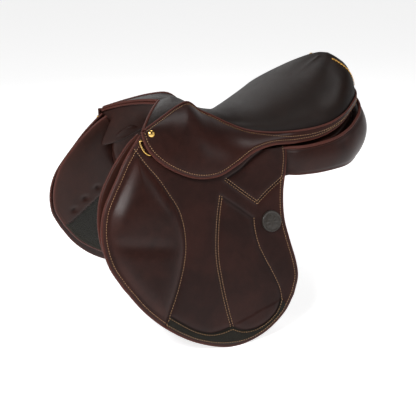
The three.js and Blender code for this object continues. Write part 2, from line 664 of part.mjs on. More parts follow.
function buildStirrupBars() {
  const outline = new THREE.Shape();
  outline.moveTo(BAR.baseX, BAR.frontY);
  outline.lineTo(BAR.bladeX + BAR.bladeThick, BAR.frontY);
  outline.lineTo(BAR.bladeX + BAR.bladeThick, BAR.bladeRearY);
  outline.lineTo(BAR.bladeX, BAR.bladeRearY);
  outline.lineTo(BAR.bladeX, BAR.frontY + BAR.armThick);
  outline.lineTo(BAR.baseX + BAR.baseThick, BAR.frontY + BAR.armThick);
  outline.lineTo(BAR.baseX + BAR.baseThick, BAR.baseRearY);
  outline.lineTo(BAR.baseX, BAR.baseRearY);
  outline.closePath();
  const forging = new THREE.ExtrudeGeometry(outline, { depth: BAR.highZ - BAR.lowZ, bevelEnabled: false });
  forging.translate(0, 0, BAR.lowZ);

  // The catch turns on a pin at the blade's rear end.
  const pinY = BAR.bladeRearY + 6;
  const pinZ = (BAR.lowZ + BAR.highZ) / 2;
  const lugOut = BAR.bladeX + BAR.bladeThick - 1;
  const lug = block(BAR.bladeX + 1, lugOut, BAR.bladeRearY - 1, pinY + 5, pinZ - 5, pinZ + 5);
  const bore = new THREE.CylinderGeometry(PIN_RADIUS + 0.3, PIN_RADIUS + 0.3, 20, 12);
  bore.rotateZ(Math.PI / 2).translate(BAR.bladeX, pinY, pinZ);
  addPair('stirrup_bar', cut(joined([forging, lug]), [bore]), MATERIALS.steel);

  const lever = new THREE.Shape();
  const half = 4;
  lever.moveTo(pinY - half, pinZ - half);
  lever.lineTo(pinY + BAR.catchLength - 3, pinZ - half);
  lever.quadraticCurveTo(pinY + BAR.catchLength, pinZ, pinY + BAR.catchLength - 3, pinZ + half);
  lever.lineTo(pinY - half, pinZ + half);
  lever.closePath();
  const pinHole = new THREE.Path();
  pinHole.absarc(pinY, pinZ, PIN_RADIUS + 0.3, 0, 2 * Math.PI, true);
  lever.holes.push(pinHole);
  const catchPlate = new THREE.ExtrudeGeometry(lever, { depth: 2, bevelEnabled: false, curveSegments: 5 });
  catchPlate.applyMatrix4(new THREE.Matrix4().makeBasis(
    new THREE.Vector3(0, 1, 0), new THREE.Vector3(0, 0, 1), new THREE.Vector3(1, 0, 0)));
  catchPlate.translate(BAR.bladeX + BAR.bladeThick - 0.5, 0, 0);
  addPair('bar_catch', catchPlate, MATERIALS.steel);

  const pin = new THREE.CylinderGeometry(PIN_RADIUS, PIN_RADIUS, 7, 12);
  pin.rotateZ(Math.PI / 2).translate(BAR.bladeX + 3, pinY, pinZ);
  addPair('catch_pin', pin, MATERIALS.steel);
}

function buildBrass() {
  const profile = [[0, 0], [NAIL.radius, 0], [NAIL.radius, 0.8], [NAIL.radius * 0.7, 2.3], [0, NAIL.height]];
  const dome = new THREE.LatheGeometry(profile.map((p) => new THREE.Vector2(...p)), 16);
  const outward = flapNormal(NAIL.y, NAIL.z);
  const place = new THREE.Vector3(flapX(NAIL.y, NAIL.z) + NAIL_OUT, NAIL.y, NAIL.z);
  addPair('saddle_nail', aimed(dome, place, outward), MATERIALS.brass);

  const { y, z, width, drop, wire, out } = DEE;
  const x = flapX(y, z) + out;
  const BOW_STEPS = 12;
  const bow = (half, depth, top) => {
    const points = [];
    for (let k = 0; k <= BOW_STEPS; k++) {
      const angle = (k / BOW_STEPS) * Math.PI;
      points.push(new THREE.Vector2(half * Math.cos(angle), top - (depth + top) * Math.sin(angle)));
    }
    return points;
  };
  const ring = new THREE.Shape(bow(width / 2, drop, wire / 2));
  ring.holes.push(new THREE.Path(bow(width / 2 - wire, drop - wire, -wire / 2).reverse()));
  const dee = new THREE.ExtrudeGeometry(ring, { depth: wire, bevelEnabled: false });
  dee.applyMatrix4(new THREE.Matrix4().makeBasis(
    new THREE.Vector3(0, 1, 0), new THREE.Vector3(0, 0, 1), new THREE.Vector3(1, 0, 0)));
  dee.translate(-wire / 2, 0, 0).rotateY(-Math.atan(FLAP_SPREAD / FLAP_DROP)).translate(x, y, z);
  addPair('dee_ring', dee, MATERIALS.brass);

  const CHAPE_LENGTH = 14;
  const loop = new THREE.Shape();
  loop.absarc(0, 0, 3.4, 0, 2 * Math.PI, false);
  const hole = new THREE.Path();
  hole.absarc(0, 0, 2.6, 0, 2 * Math.PI, true);
  loop.holes.push(hole);
  const bend = { depth: CHAPE_LENGTH, bevelEnabled: false, curveSegments: 8 };
  const chape = new THREE.ExtrudeGeometry(loop, bend);
  chape.rotateX(Math.PI / 2).translate(x, y + CHAPE_LENGTH / 2, z);
  addPair('dee_chape', chape, MATERIALS.strapLeather);
}

buildTree();
buildWebs();
buildSeat();
buildSkirts();
buildFlaps();
buildSweatFlaps();
buildStraps();
buildPanels();
buildGussets();
buildBridges();
buildStirrupBars();
buildBrass();

export default saddle;
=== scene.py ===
"""English jumping saddle: its leather, padding, stitching, fittings and a small studio.

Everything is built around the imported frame, in the same place and at the same size.
Shapes are worked out in millimetres and turned into metres when a mesh is made.
"""

import bpy
import numpy as np
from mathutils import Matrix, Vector


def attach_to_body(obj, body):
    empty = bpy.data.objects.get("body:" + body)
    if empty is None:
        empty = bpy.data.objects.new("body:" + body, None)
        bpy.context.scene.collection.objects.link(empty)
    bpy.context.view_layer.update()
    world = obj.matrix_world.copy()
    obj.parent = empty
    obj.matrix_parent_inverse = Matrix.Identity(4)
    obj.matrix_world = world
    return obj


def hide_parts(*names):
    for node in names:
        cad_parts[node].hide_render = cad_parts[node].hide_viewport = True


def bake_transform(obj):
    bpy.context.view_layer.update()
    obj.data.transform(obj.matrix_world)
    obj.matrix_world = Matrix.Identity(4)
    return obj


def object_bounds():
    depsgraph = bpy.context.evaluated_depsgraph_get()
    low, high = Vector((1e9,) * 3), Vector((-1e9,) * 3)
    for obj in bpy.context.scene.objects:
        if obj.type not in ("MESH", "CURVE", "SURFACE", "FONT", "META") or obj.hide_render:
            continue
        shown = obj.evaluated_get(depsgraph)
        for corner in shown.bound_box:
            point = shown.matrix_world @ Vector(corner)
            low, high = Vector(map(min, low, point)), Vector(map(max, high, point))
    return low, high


bl_info = {
    "name": "English Jumping Saddle",
    "version": (1, 0, 0),
    "blender": (4, 5, 0),
    "location": "View3D > Sidebar > Saddle",
    "description": "Builds the leather, padding, stitching and fittings of a jumping saddle",
    "category": "Object",
}

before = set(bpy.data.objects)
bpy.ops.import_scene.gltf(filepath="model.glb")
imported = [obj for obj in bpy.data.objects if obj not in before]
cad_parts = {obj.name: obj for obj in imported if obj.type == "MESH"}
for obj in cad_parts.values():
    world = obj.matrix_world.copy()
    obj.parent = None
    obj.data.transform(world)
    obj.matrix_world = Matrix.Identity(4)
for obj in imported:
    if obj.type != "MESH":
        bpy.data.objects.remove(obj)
CAD_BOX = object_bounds()

MM = 0.001
SIDES = {"near": 1.0, "off": -1.0}

# ---- Sizes of the saddle, in millimetres ----

# How far the flap surface stands out from the mid-plane.
FLAP_ROOT_Z = 84
FLAP_DROP = 400
FLAP_ROOT_X = 80
FLAP_SPREAD = 165
FLAP_CURL = 40
FLAP_TOE_TOP = 20
FLAP_TOE_LOW = 40
TOE_LENGTH = 300
TOE_ZERO_Y = -120

LEATHER = 4.0
SWEAT_OUT = -15
SWEAT_THICK = 4

# Knee pad: how far its outline keeps inside the flap's edge, and how far in it takes to rise.
KNEE_INSET = 11.0
KNEE_EDGE = 13
KNEE_ROLL_Z = -40
KNEE_ROLL_REACH = 46
KNEE_FOLD_Z = -100
KNEE_FOLD_WIDTH = 12
KNEE_FOLD_END_Y = -172

# Stitching: rows inside the flap's edge, and how far thread lies above the leather.
EDGE_STITCH = 6.0
THREAD_LIFT = 0.15

# Flap outline as four sides, [y, z] on the flap surface.
FLAP_TOP = [[-188, 66], [-172, 62], [-157, 38], [-138, 26], [-60, 22], [40, 22], [66, 22]]
FLAP_FRONT = [[-188, 66], [-203, 51], [-221, 31], [-239, 6], [-254, -15], [-269, -40], [-278, -78],
              [-273, -122], [-256, -158]]
FLAP_BOTTOM = [[-256, -158], [-226, -202], [-190, -238], [-143, -268], [-85, -285], [-30, -275],
               [16, -246], [38, -219]]
FLAP_REAR = [[66, 22], [64, 6], [58, -15], [46, -50], [40, -92], [44, -128], [50, -165], [50, -190],
             [38, -219]]

# Seams on the flap.
KNEE_SEAM = [[-204, 46], [-188, 19], [-175, 1], [-160, -27], [-148, -53], [-144, -81], [-146, -112],
             [-155, -143], [-170, -178], [-186, -209], [-197, -233]]
MIDDLE_SEAM = [[-69, -42], [-78, -68], [-85, -95], [-90, -122], [-92, -146], [-91, -174], [-89, -200],
               [-86, -226], [-82, -252]]
INSERT_TOP = [[-69, -42], [-41, -64], [-18, -84]]
INSERT_REAR = [[-18, -84], [-19, -104], [-15, -132], [-5, -159], [6, -186], [12, -206], [13, -223]]
V_SEAM_FRONT = [[-55, -17], [-30, -39], [-5, -60]]
V_SEAM_REAR = [[-5, -60], [16, -46], [50, -27]]
V_FOLD = [[-55, -17], [-26, -5], [-1, 10], [24, 22]]
GRIP_TOP = [[-196, -229], [-186, -217], [-169, -231], [-145, -248], [-122, -257], [-101, -257], [-82, -252]]
GRIP_TOP_REAR = [[-82, -252], [-64, -262], [-40, -264], [-16, -256], [4, -241], [14, -222]]

# Seam between seat and skirt, and the matching places on the skirt's free edge and over its crown.
SEAM = [[84, -184, 76], [68, -146, 88], [49, -108, 98], [36, -81, 99], [31, -55, 81], [36, -33, 70],
        [50, -7, 56], [68, 17, 46], [94, 48, 43], [114, 82, 45], [131, 118, 51], [139, 145, 59],
        [134, 174, 69], [114, 206, 78], [85, 238, 86], [45, 260, 91], [0, 268, 93]]
SKIRT_RIM = [[93, -189, 73], [99, -187, 56], [106, -178, 38], [116, -156, 17], [127, -113, -4],
             [131, -72, -6], [130, -34, 9], [126, 0, 25], [124, 38, 31], [129, 82, 29], [137, 118, 33],
             [143, 142, 42], [139, 170, 53], [118, 205, 65], [90, 240, 75], [48, 263, 81], [2, 272, 84]]
# How far the skirt's crown stands out past the middle of the straight line between seam and rim.
SKIRT_CROWN = [0, 4, 12, 22, 28, 24, 14, 7, 3, 2, 1.5, 1, 1, 1, 1, 1, 1]
SPINE = [[-115, 98], [-103, 101], [-93, 102], [-78, 98], [-56, 85], [-33, 74], [-7, 67], [17, 63], [48, 67],
         [82, 79], [118, 93], [145, 105], [168, 116], [190, 130], [205, 139], [213, 144], [215, 145]]

# Lower edge of the lining under the pommel, where it meets the panel.
POMMEL_LINING_LOW = [[0, -100, 66], [20, -112, 60], [38, -142, 42], [56, -174, 22], [78, -194, 12]]

SWEAT_TOP = [[-186, 64], [-172, 44], [-158, 18], [-130, 6], [-60, 2], [0, 2], [52, 6]]
SWEAT_FRONT = [[-186, 64], [-204, 52], [-224, 33], [-242, 13], [-265, -22], [-276, -68], [-272, -112],
               [-252, -152]]
SWEAT_BOTTOM = [[-252, -152], [-222, -192], [-184, -224], [-138, -250], [-82, -262], [-32, -250], [8, -222]]
SWEAT_REAR = [[52, 6], [43, -12], [31, -46], [25, -84], [31, -118], [37, -158], [33, -185], [8, -222]]

# Rear gusset from behind the flap round to the middle: [x, y, top z, low z, bulge].
GUSSET = [[104, 24, 15, -30, 0], [112, 46, 16, -29, 1], [121, 66, 17, -28, 3], [134, 84, 18.5, -27.5, 4.5],
          [141, 102, 20.5, -26.5, 5.5], [146, 124, 24, -25.5, 6.5], [149, 152, 30, -23, 7.5],
          [144, 182, 40, -22, 9], [130, 208, 49.5, -20, 11.5], [112, 230, 57.5, -16.5, 14],
          [90, 247, 64, -10.5, 15.5], [64, 260, 69.5, -1, 14], [34, 267, 73, 8, 7]]

# Panel section corners along the saddle: [y, x, z].
PANEL_START = -176
PANEL_END = 258
PANEL_NOSE = 30.0
GUSSET_LEATHER = 3.6
PANEL_CHANNEL_TOP = [[-176, 46, 50], [-140, 36, 48], [-100, 30, 42], [-40, 34, 18], [30, 36, 16],
                     [100, 36, 26], [150, 36, 38], [200, 36, 60], [240, 34, 70], [258, 36, 70]]
PANEL_OUTER_TOP = [[-176, 60, 56], [-140, 68, 18], [-100, 74, 12], [-40, 88, 10], [30, 95, 10], [60, 108, 9],
                   [100, 130, 15], [150, 138, 34], [200, 118, 54], [240, 78, 64], [258, 48, 66]]
PANEL_OUTER_LOW = [[-176, 92, -30], [-140, 108, -66], [-100, 112, -74], [-40, 116, -58], [30, 114, -38],
                   [100, 132, -27], [150, 138, -24], [200, 118, -18], [240, 78, -2], [258, 48, 8]]
PANEL_CHANNEL_LOW = [[-176, 66, -26], [-140, 78, -60], [-100, 76, -62], [-40, 48, -38], [30, 44, -34],
                     [100, 42, -32], [150, 40, -29], [200, 38, -20], [240, 36, -3], [258, 36, 8]]

# Keeps the finishes made here apart from the plain ones that come with the CAD nodes.
FINISH_PREFIX = "saddle_"
LEATHER_SPECULAR = 0.19
GRAIN_HEIGHT = 0.00012

# Seat: how it falls from the middle to the seam, at places from pommel to cantle.
SEAT_POWER = [[0, 2], [0.4, 2.2], [0.7, 2.4], [0.85, 3.6], [1, 5]]
SEAT_ROUND = [[0, 1], [0.3, 1.2], [0.45, 1.7], [1, 2]]
SEAT_SWELL = [[0.7, 0], [0.85, 4], [1, 5]]
SEAT_END = 0.9995
SEAT_LEATHER = 2.2
FOAM_DEPTH = 5.0
FOAM_THICK = 9.0

# Welt and facing at the front of the pommel: how far forward, how far down, radius.
POMMEL_WELTS = ((0.6, -0.6, 2.4), (2.8, -5.2, 2.1))

# Cantle embroidery: where it runs on the seat, how many lozenges, their half length and half width.
EMBROIDERY_U = 0.89
EMBROIDERY_V = (0.45, 0.975)
LOZENGES = 11
LOZENGE_LENGTH = 3.0
LOZENGE_WIDTH = 2.0
GOLD_THREAD = 0.5

# Bottom edge of the grip band, [y, z].
GRIP_LOW = [[-195, -230], [-168, -249], [-143, -263], [-85, -280], [-31, -270], [12, -243], [20, -233]]

# Sweat flap: three sunk dimples, the top of its grip leather, and the thigh roll's two long sides.
DIMPLES = [[-193, -80], [-217, -98], [-237, -119]]
GRIP_LINE = [[-150, -78], [-185, -100], [-216, -124], [-243, -147]]
PADDING = 5.5
DIMPLE_DEPTH = 4.0
ROLL_FULLNESS = 7.0
ROLL_FRONT = [[4, -64], [3, -100], [8, -142]]
ROLL_REAR = [[20, -64], [21, -100], [24, -142]]

# Skirt: where it bends, and the stitch lines from the seam and from the free edge.
SKIRT_LEATHER = 3.2
SEAM_STITCH = 9.5
RIM_STITCH = 5.5

# Channel lining height along the saddle, and the roll of piping across the rear.
CHANNEL_RISE = [[-60, 30], [-30, 12], [0, 1.5], [50, 1.5], [100, 10], [150, 22], [200, 44], [236, 58]]
REAR_ROLL = [[38, 265.5, 76], [20, 268.5, 77.5], [0, 269.5, 78], [-20, 268.5, 77.5], [-38, 265.5, 76]]
LINING = 2.6

# Badge, nail and dee ring.
BADGE_PLACE = (15.0, -93.0)
BADGE_RADIUS = 18.5
NAIL_PLACE = (-174.0, 70.0)
NAIL_PROFILE = [(0.0, 3.4), (2.0, 3.3), (3.8, 2.7), (5.0, 1.9), (5.9, 1.0), (6.2, 0.2), (6.2, -0.6)]
DEE_PLACE = (-180.0, 60.0)
DEE_STAND = 4.2
DEE_HALF_WIDTH = 13.4
DEE_DROP = 24.4
DEE_WIRE = 1.6

# Finishes of the CAD nodes that keep their shape.
KEPT_FINISHES = {
    "tree": "beech", "head_plate": "steel", "cantle_plate": "steel", "cross_web": "webbing",
    "seat_web": "webbing", "girth_web": "webbing", "girth_strap_front": "strap_leather",
    "girth_strap_middle": "strap_leather", "girth_strap_rear": "strap_leather",
    "stirrup_bar": "steel", "bar_catch": "steel", "catch_pin": "steel", "dee_chape": "strap_leather",
}

# Camera and studio.
VIEW_AZIMUTH = 61.0
VIEW_ELEVATION = 21.0
VIEW_DISTANCE = 1500.0
VIEW_TARGET = (0.0, -20.0, -116.0)
SENSOR = 36.0
LENS = 70.1
FLOOR_HALF_SIZE = 40.0
LIGHTS_AIM = (0, 0, -0.05)


# ---- Settings shown in the sidebar ----


def colour(name, description, default):
    """A colour in the sidebar."""
    return bpy.props.FloatVectorProperty(
        name=name, description=description, subtype="COLOR", size=3, min=0, max=1, default=default)


def size_in_mm(name, description, default, low, high):
    """A size in the sidebar, in millimetres."""
    return bpy.props.FloatProperty(
        name=name, description=f"{description}, mm", default=default, min=low, max=high)


class SADDLE_PG_leather(bpy.types.PropertyGroup):
    """Colours of the leathers and threads."""

    flap: colour("Flap leather", "Colour of flaps, skirts and rear gussets", (0.0205, 0.0076, 0.0060))
    seat: colour("Seat leather", "Colour of the seat", (0.0115, 0.0062, 0.0045))
    panel: colour("Panel leather", "Colour of the panels and sweat flaps", (0.025, 0.0085, 0.0058))
    piping: colour("Piping leather", "Colour of the piping and rolled edges", (0.085, 0.025, 0.018))
    grip: colour("Grip leather", "Colour of the textured grip bands", (0.010, 0.0096, 0.0062))
    thread: colour("Thread", "Colour of the stitching", (0.36, 0.2, 0.095))


class SADDLE_PG_shape(bpy.types.PropertyGroup):
    """Sizes of the soft parts."""

    knee_height: size_in_mm("Knee pad height", "How far the knee pad stands up from the flap", 11.0, 0, 14)
    seam_depth: size_in_mm("Seam depth", "How deep a stitched seam pulls in", 1.8, 0, 4)
    welt_radius: size_in_mm("Welt radius", "Radius of the rolled edges", 1.6, 0.5, 4)
    stitch_length: size_in_mm("Stitch length", "Length of one stitch", 2.9, 1, 8)
    stitch_pitch: size_in_mm("Stitch pitch", "Distance from stitch to stitch", 4.2, 1.5, 10)
    stitch_radius: size_in_mm("Thread radius", "Radius of the thread", 0.5, 0.2, 1)


class SADDLE_PG_stage(bpy.types.PropertyGroup):
    """Floor and lights."""

    floor_drop: bpy.props.FloatProperty(
        name="Floor drop", description="Distance from the flaps' lowest edge to the floor",
        default=0.002, min=0, unit="LENGTH")
    floor_glow: bpy.props.FloatProperty(
        name="Floor glow", description="How strongly the floor is lit from below", default=0.8, min=0)
    world_glow: bpy.props.FloatProperty(
        name="Surroundings", description="Brightness of the surroundings", default=0.5, min=0)
    key_power: bpy.props.FloatProperty(
        name="Key light", description="Power of the large soft light", default=24.0, min=0, subtype="POWER")
    fill_power: bpy.props.FloatProperty(
        name="Fill light", description="Power of the soft light on the other side", default=3.5, min=0,
        subtype="POWER")


# ---- Curves and surfaces ----


def through(pairs):
    """A smooth function through [at, value] pairs, held level beyond both ends."""
    at, value = np.asarray(pairs, float).T
    slope = np.empty_like(value)
    slope[1:-1] = (value[2:] - value[:-2]) / (at[2:] - at[:-2])
    slope[0] = (value[1] - value[0]) / (at[1] - at[0])
    slope[-1] = (value[-1] - value[-2]) / (at[-1] - at[-2])

    def read(x):
        x = np.clip(np.asarray(x, float), at[0], at[-1])
        i = np.clip(np.searchsorted(at, x, side="right") - 1, 0, len(at) - 2)
        width = at[i + 1] - at[i]
        t = (x - at[i]) / width
        rise = width * t * (1 - t)
        level = value[i] + (value[i + 1] - value[i]) * t * t * (3 - 2 * t)
        return level + rise * ((1 - t) * slope[i] - t * slope[i + 1])

    return read


def spline_at(points, t):
    """Points of a centripetal Catmull-Rom curve at parameters t from 0 to 1."""
    p = np.asarray(points, float)
    p = np.vstack([2 * p[0] - p[1], p, 2 * p[-1] - p[-2]])
    t = np.clip(np.asarray(t, float), 0, 1) * (len(p) - 3)
    i = np.minimum(t.astype(int), len(p) - 4)
    w = (t - i)[..., None]
    p0, p1, p2, p3 = p[i], p[i + 1], p[i + 2], p[i + 3]
    d0, d1, d2 = (np.maximum(np.linalg.norm(b - a, axis=-1, keepdims=True) ** 0.5, 1e-6)
                  for a, b in ((p0, p1), (p1, p2), (p2, p3)))
    m1 = ((p1 - p0) / d0 - (p2 - p0) / (d0 + d1) + (p2 - p1) / d1) * d1
    m2 = ((p2 - p1) / d1 - (p3 - p1) / (d1 + d2) + (p3 - p2) / d2) * d1
    return ((2 * p1 - 2 * p2 + m1 + m2) * w**3 + (3 * p2 - 3 * p1 - 2 * m1 - m2) * w**2 + m1 * w + p1)


def spline(points, count):
    """Evenly spaced points along a smooth curve through the given ones."""
    fine = spline_at(points, np.linspace(0, 1, 24 * len(points)))
    return even(fine, count)


def even(path, count):
    """The same path with `count` points at even distances."""
    step = np.linalg.norm(np.diff(path, axis=0), axis=1)
    run = np.concatenate([[0], np.cumsum(step)])
    want = np.linspace(0, run[-1], count)
    return np.stack([np.interp(want, run, path[:, k]) for k in range(path.shape[1])], 1)


def length_of(path):
    """Length along a path of points."""
    return np.linalg.norm(np.diff(path, axis=0), axis=1).sum()


def coons(top, bottom, front, rear, columns, rows):
    """A grid of [y, z] places that fills four sides: top and bottom run front to rear."""
    u = np.linspace(0, 1, columns)[None, :, None]
    v = np.linspace(0, 1, rows)[:, None, None]
    t, b = spline(top, columns)[None], spline(bottom, columns)[None]
    f, r = spline(front, rows)[:, None], spline(rear, rows)[:, None]
    corners = ((1 - u) * (1 - v) * t[:, :1] + u * (1 - v) * t[:, -1:]
               + (1 - u) * v * b[:, :1] + u * v * b[:, -1:])
    return (1 - v) * t + v * b + (1 - u) * f + u * r - corners


def flap_x(y, z):
    """Distance of the flap surface from the mid-plane."""
    t = (FLAP_ROOT_Z - z) / FLAP_DROP
    toe = (FLAP_TOE_TOP * (1 - t) + FLAP_TOE_LOW * t) * (y - TOE_ZERO_Y) / TOE_LENGTH
    return FLAP_ROOT_X + FLAP_SPREAD * t - FLAP_CURL * t * t + toe


def on_flap_surface(y, z, height):
    """Points at a height above the flap surface."""
    return np.stack(np.broadcast_arrays(flap_x(y, z) + height, y, z), -1)


def distance_to(places, path):
    """Distance from each place to the nearest point of a finely sampled path."""
    flat = places.reshape(-1, places.shape[-1])
    best = np.full(len(flat), np.inf)
    for point in path:
        best = np.minimum(best, ((flat - point) ** 2).sum(1))
    return np.sqrt(best).reshape(places.shape[:-1])


def inside(places, outline):
    """Which places lie inside a closed outline."""
    y, z = places[..., 0], places[..., 1]
    hit = np.zeros(y.shape, bool)
    for (y0, z0), (y1, z1) in zip(outline, np.roll(outline, -1, axis=0)):
        if z0 == z1:
            continue
        crosses = (z0 > z) != (z1 > z)
        hit ^= crosses & (y < (y1 - y0) * (z - z0) / (z1 - z0) + y0)
    return hit


def bell(distance, width):
    """1 at no distance, falling smoothly to nothing past the width."""
    return np.exp(-((distance / width) ** 2))


# ---- Meshes ----


def make_object(name, vertices, faces, finish, marks=None, smooth=True):
    """A mesh object in metres from millimetre vertices, with optional per-vertex marks for its material."""
    mesh = bpy.data.meshes.new(name)
    mesh.from_pydata((np.asarray(vertices, float) * MM).tolist(), [], faces)
    mesh.validate()
    mesh.polygons.foreach_set("use_smooth", [smooth] * len(mesh.polygons))
    for key, values in (marks or {}).items():
        layer = mesh.attributes.new(key, "FLOAT", "POINT")
        layer.data.foreach_set("value", np.asarray(values, np.float32).ravel())
    mesh.materials.append(finish)
    return linked(name, mesh)


def turned_out(vertices, faces):
    """The faces, reversed if the closed body they make is inside out."""
    v = np.asarray(vertices, float)
    volume = 0.0
    for face in faces:
        a = v[face[0]]
        for k in range(1, len(face) - 1):
            volume += a @ np.cross(v[face[k]], v[face[k + 1]])
    return faces if volume > 0 else [face[::-1] for face in faces]


def body_between(face, back):
    """Vertices and faces of a closed body between two equal grids of points, rows by columns."""
    rows, columns = face.shape[:2]
    vertices = np.concatenate([face.reshape(-1, 3), back.reshape(-1, 3)])
    ids = np.arange(rows * columns).reshape(rows, columns)
    far = ids + rows * columns

    def quads(a, b, c, d):
        return np.stack([a.ravel(), b.ravel(), c.ravel(), d.ravel()], 1).tolist()

    faces = quads(ids[:-1, :-1], ids[:-1, 1:], ids[1:, 1:], ids[1:, :-1])
    faces += quads(far[:-1, :-1], far[1:, :-1], far[1:, 1:], far[:-1, 1:])
    rim = np.concatenate([ids[0, :-1], ids[:-1, -1], ids[-1, :0:-1], ids[:0:-1, 0]])
    after = np.roll(rim, -1)
    faces += quads(after, rim, rim + rows * columns, after + rows * columns)
    return vertices, turned_out(vertices, faces)


def ring_faces(rings, sides, first=0, closed=False):
    """Quads between rings of points; `closed` joins the last ring to the first."""
    faces = []
    for i in range(rings if closed else rings - 1):
        low = first + i * sides
        high = first + (i + 1) % rings * sides
        for k in range(sides):
            n = (k + 1) % sides
            faces.append([low + k, low + n, high + n, high + k])
    return faces


def dome_body(tip, rings):
    """A closed body from a tip through rings of points, flat across the last ring."""
    sides = len(rings[0])
    vertices = np.concatenate([[tip], *rings])
    faces = [[0, 1 + k, 1 + (k + 1) % sides] for k in range(sides)]
    faces += [face[::-1] for face in ring_faces(len(rings), sides, first=1)]
    faces.append([len(vertices) - 1 - k for k in range(sides)])
    return vertices, turned_out(vertices, faces)


def round_section(radius, angle, side, up):
    """A circle of points in the plane of two directions."""
    return radius * (np.cos(angle)[:, None] * side + np.sin(angle)[:, None] * up)


def tube_body(path, radius, sides=10):
    """Vertices and faces of a round cord along a path, closed at both ends."""
    path = np.asarray(path, float)
    ahead = np.gradient(path, axis=0)
    ahead /= np.linalg.norm(ahead, axis=1, keepdims=True)
    side = np.cross(ahead[0], [0, 0, 1.0])
    if np.linalg.norm(side) < 0.1:
        side = np.cross(ahead[0], [1.0, 0, 0])
    angle = np.linspace(0, 2 * np.pi, sides, endpoint=False)
    rings = []
    for point, along in zip(path, ahead):
        side = side - along * (side @ along)
        side /= np.linalg.norm(side)
        rings.append(point + round_section(radius, angle, side, np.cross(along, side)))
    tips = [path[:1] - ahead[:1] * radius * 0.5, path[-1:] + ahead[-1:] * radius * 0.5]
    vertices = np.concatenate(rings + tips)
    count = len(rings)
    faces = ring_faces(count, sides)
    for k in range(sides):
        n = (k + 1) % sides
        faces.append([count * sides, n, k])
        faces.append([count * sides + 1, (count - 1) * sides + k, (count - 1) * sides + n])
    return vertices, turned_out(vertices, faces)


def ring_body(path, radius, sides=10):
    """Vertices and faces of a cord that closes on itself."""
    path = np.asarray(path, float)
    ahead = np.roll(path, -1, axis=0) - np.roll(path, 1, axis=0)
    ahead /= np.linalg.norm(ahead, axis=1, keepdims=True)
    normal = np.cross(path[1] - path[0], path[len(path) // 3] - path[0])
    normal /= np.linalg.norm(normal)
    angle = np.linspace(0, 2 * np.pi, sides, endpoint=False)
    rings = [point + round_section(radius, angle, np.cross(along, normal), normal)
             for point, along in zip(path, ahead)]
    vertices = np.concatenate(rings)
    return vertices, turned_out(vertices, ring_faces(len(rings), sides, closed=True))


def stitch(point, ahead, up, settings, sides=5):
    """One stitch: a short thread, pointed at both ends and fuller in the middle."""
    ahead = ahead / np.linalg.norm(ahead)
    up = up - ahead * (up @ ahead)
    up /= np.linalg.norm(up)
    side = np.cross(ahead, up)
    angle = np.linspace(0, 2 * np.pi, sides, endpoint=False)
    half = settings.stitch_length / 2
    radius = settings.stitch_radius
    rings = []
    for place, swell, lift in ((-0.75, 0.8, 0.2), (0, 1, 0.5), (0.75, 0.8, 0.2)):
        middle = point + ahead * half * place + up * radius * lift
        rings.append(middle + round_section(radius * swell, angle, side, up))
    vertices = np.concatenate([[point - ahead * half], *rings, [point + ahead * half]])
    tip = len(vertices) - 1
    faces = ring_faces(len(rings), sides, first=1)
    for k in range(sides):
        n = (k + 1) % sides
        faces.append([0, 1 + n, 1 + k])
        faces.append([tip, tip - sides + k, tip - sides + n])
    return vertices, faces


def stitch_bodies(paths, settings):
    """Vertices and faces of rows of stitches. Each path is points with their outward directions."""
    bodies = []
    for path, out in paths:
        count = max(2, int(length_of(path) / settings.stitch_pitch))
        centre = even(path, count)
        facing = even(np.hstack([path, out]), count)[:, 3:]
        for point, ahead, up in zip(centre, np.gradient(centre, axis=0), facing):
            bodies.append(stitch(point, ahead, up, settings))
    return joined_bodies(bodies)


def joined_bodies(bodies):
    """Several bodies as one list of vertices and one of faces."""
    vertices, faces, base = [], [], 0
    for body_vertices, body_faces in bodies:
        vertices.append(body_vertices)
        faces += [[k + base for k in face] for face in body_faces]
        base += len(body_vertices)
    return np.concatenate(vertices), faces


def face_marks(crease, edge, back_crease_shade=None, back_edge=None):
    """Marks for the front and the back grid of a body, the crease mark being painted shade; the back has none
    unless given.
    """
    def both(front, back):
        back = np.zeros(front.size) if back is None else back
        return np.concatenate([front.ravel(), back.ravel()])
    return {"crease": both(crease, back_crease_shade), "edge": both(edge, back_edge)}


def on_both_sides(name, body, finish, attach, marks=None):
    """Makes the near piece and its mirror image, and hands each with its side to the given attach step."""
    vertices, faces = body
    made = {}
    for side, sign in SIDES.items():
        flipped = np.asarray(vertices, float) * [sign, 1, 1]
        turned = faces if sign > 0 else [face[::-1] for face in faces]
        obj = make_object(f"{name}_{side}", flipped, turned, finish, marks)
        attach(obj, side)
        made[side] = obj
    return made


# ---- Materials ----


def node_group(name, inputs, outputs):
    """An empty shader group with named inputs (kind, name, default) and outputs (kind, name)."""
    group = bpy.data.node_groups.new(name, "ShaderNodeTree")
    for kind, label, default in inputs:
        socket = group.interface.new_socket(label, in_out="INPUT", socket_type=kind)
        socket.default_value = default
    for kind, label in outputs:
        group.interface.new_socket(label, in_out="OUTPUT", socket_type=kind)
    return group, group.nodes.new("NodeGroupInput"), group.nodes.new("NodeGroupOutput")


def add_node(tree, kind, **values):
    """A node with its properties and, by socket name, its input values."""
    node = tree.nodes.new(kind)
    for key, value in values.items():
        if key in node.inputs:
            node.inputs[key].default_value = value
        else:
            setattr(node, key, value)
    return node


def noise(tree, place, **values):
    """Noise read at a place, from 0 to 1."""
    node = add_node(tree, "ShaderNodeTexNoise", **values)
    tree.links.new(place, node.inputs["Vector"])
    return node.outputs["Fac"]


def math_node(tree, operation, a, b=None, c=None, clamp=False):
    """A sum on sockets or plain values."""
    node = tree.nodes.new("ShaderNodeMath")
    node.operation = operation
    node.use_clamp = clamp
    for index, value in enumerate((a, b, c)):
        if value is None:
            continue
        if isinstance(value, (int, float)):
            node.inputs[index].default_value = value
        else:
            tree.links.new(value, node.inputs[index])
    return node.outputs[0]


